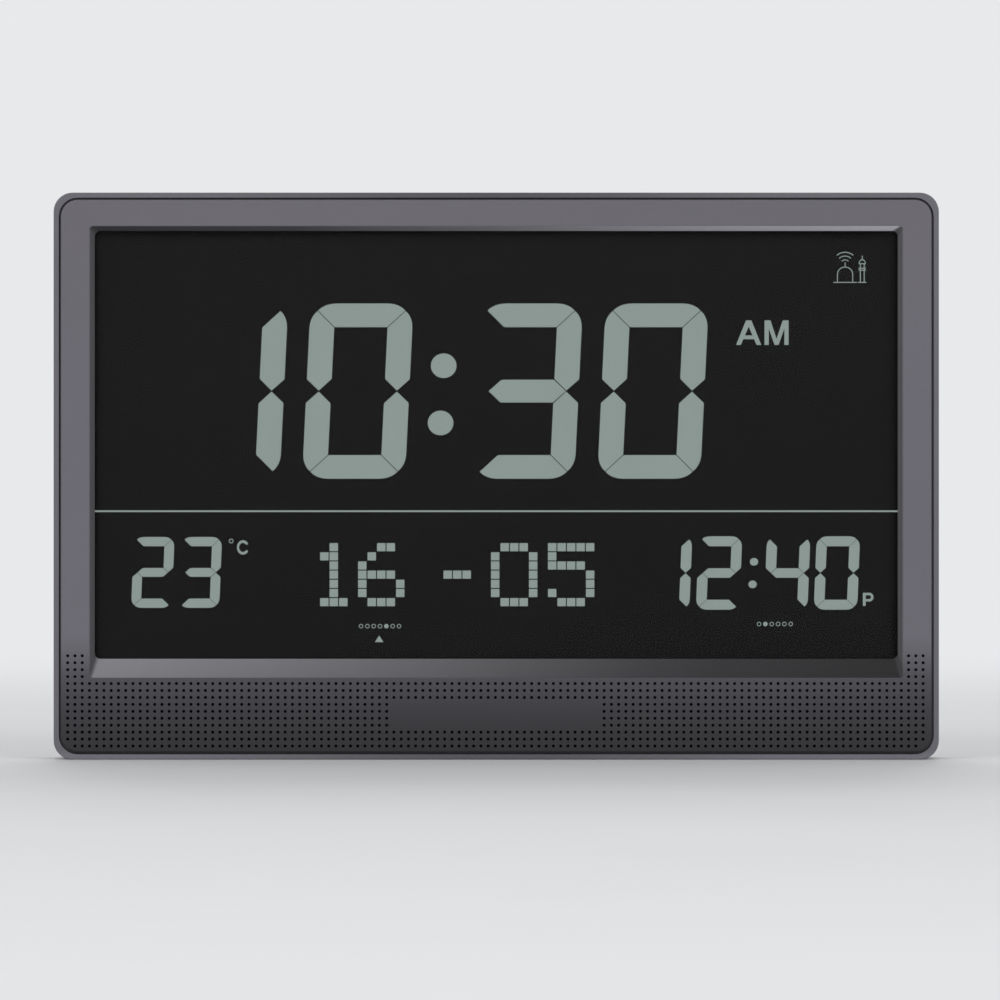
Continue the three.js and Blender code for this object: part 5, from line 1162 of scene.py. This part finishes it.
make_bezel()
make_housing()
make_mask()
make_leg()
make_pad()
make_door()
for key_name, key_x in KEY_PLACES.items():
    make_key(key_name, key_x)
make_wheel()
make_inlet()
for screw_number, screw_place in enumerate(SCREW_PLACES, 1):
    make_screw(screw_number, *screw_place)
battery_sleeve = battery_look()
for cell_number, (cell_x, cell_foot, plate_z, way_up) in enumerate(CELLS, 1):
    make_cell(cell_number, cell_x, cell_foot, way_up)
    make_spring(cell_number, cell_x, plate_z, way_up)


# Floor, light and camera

BACKDROP = linear(232, 233, 235)
LAMP_ENERGY = 19.0
LAMP_AIM = Vector((0.0, 0.0, 0.1))


def make_floor():
    """A disc that turns into the backdrop further out."""
    radii, sides = (0.4, 1.0, 2.5, 6.0, 20.0, 60.0), 64
    points = [(x, y, 0.0) for r in radii for x, y, *_ in circle(0.0, 0.0, r, sides)]
    faces = [tuple(range(sides))]
    for start in range(0, len(points) - sides, sides):
        faces += [(a, a + sides, b + sides, b) for a, b in closed(start, sides)]
    mesh = bpy.data.meshes.new("floor")
    mesh.from_pydata(points, [], faces)
    floor = new_object("floor", mesh)
    look = Look("floor", 0.7, shine=0.2)
    look.join(look.mottle(linear(226, 227, 229), 0.01, 6.0, 60.0), "Base Color")
    squares = [look.math("POWER", along, 2.0) for along in (look.x, look.y)]
    far = look.math("SQRT", look.math("ADD", *squares))
    share = look.math("MULTIPLY", look.span(far, 0.5, 2.2, smooth=True), look.seen())
    glow = look.add("Emission", {"Color": BACKDROP, "Strength": 1.0})
    look.surface("Material Output", share, look.shader, glow)
    mesh.materials.append(look.material)


def make_world():
    world = bpy.data.worlds.new("studio")
    bpy.context.scene.world = world
    nodes = Nodes(world)
    light = nodes.tree.nodes["Background"]
    light.inputs["Color"].default_value = (1.0, 1.0, 1.0, 1.0)
    light.inputs["Strength"].default_value = 0.5
    backdrop = nodes.add("Background", {"Color": BACKDROP, "Strength": 1.0})
    nodes.surface("World Output", nodes.seen(), light, backdrop)


def make_lamp(name, place, size):
    data = bpy.data.lights.new(name, "AREA")
    data.energy, data.shape, data.size = LAMP_ENERGY, "DISK", size
    lamp = new_object(name, data)
    lamp.location = place
    lamp.rotation_euler = (LAMP_AIM - Vector(place)).to_track_quat("-Z", "Y").to_euler()


make_floor()
make_world()
make_lamp("lamp_left", (-1.7, -2.1, 1.7), 1.4)
make_lamp("lamp_right", (1.7, -2.1, 1.7), 1.4)
make_lamp("lamp_back", (0.0, 2.4, 1.9), 1.6)

camera_data = bpy.data.cameras.new("camera")
camera_data.sensor_width = 36.0
camera_data.lens = 257.0
camera = new_object("camera", camera_data)
camera.location = (0.00157, -3.0, 0.1085)
camera.rotation_euler = (pi / 2, 0.0, 0.0)
bpy.context.scene.camera = camera
bpy.context.scene.view_settings.view_transform = "Standard"

bpy.context.view_layer.update()
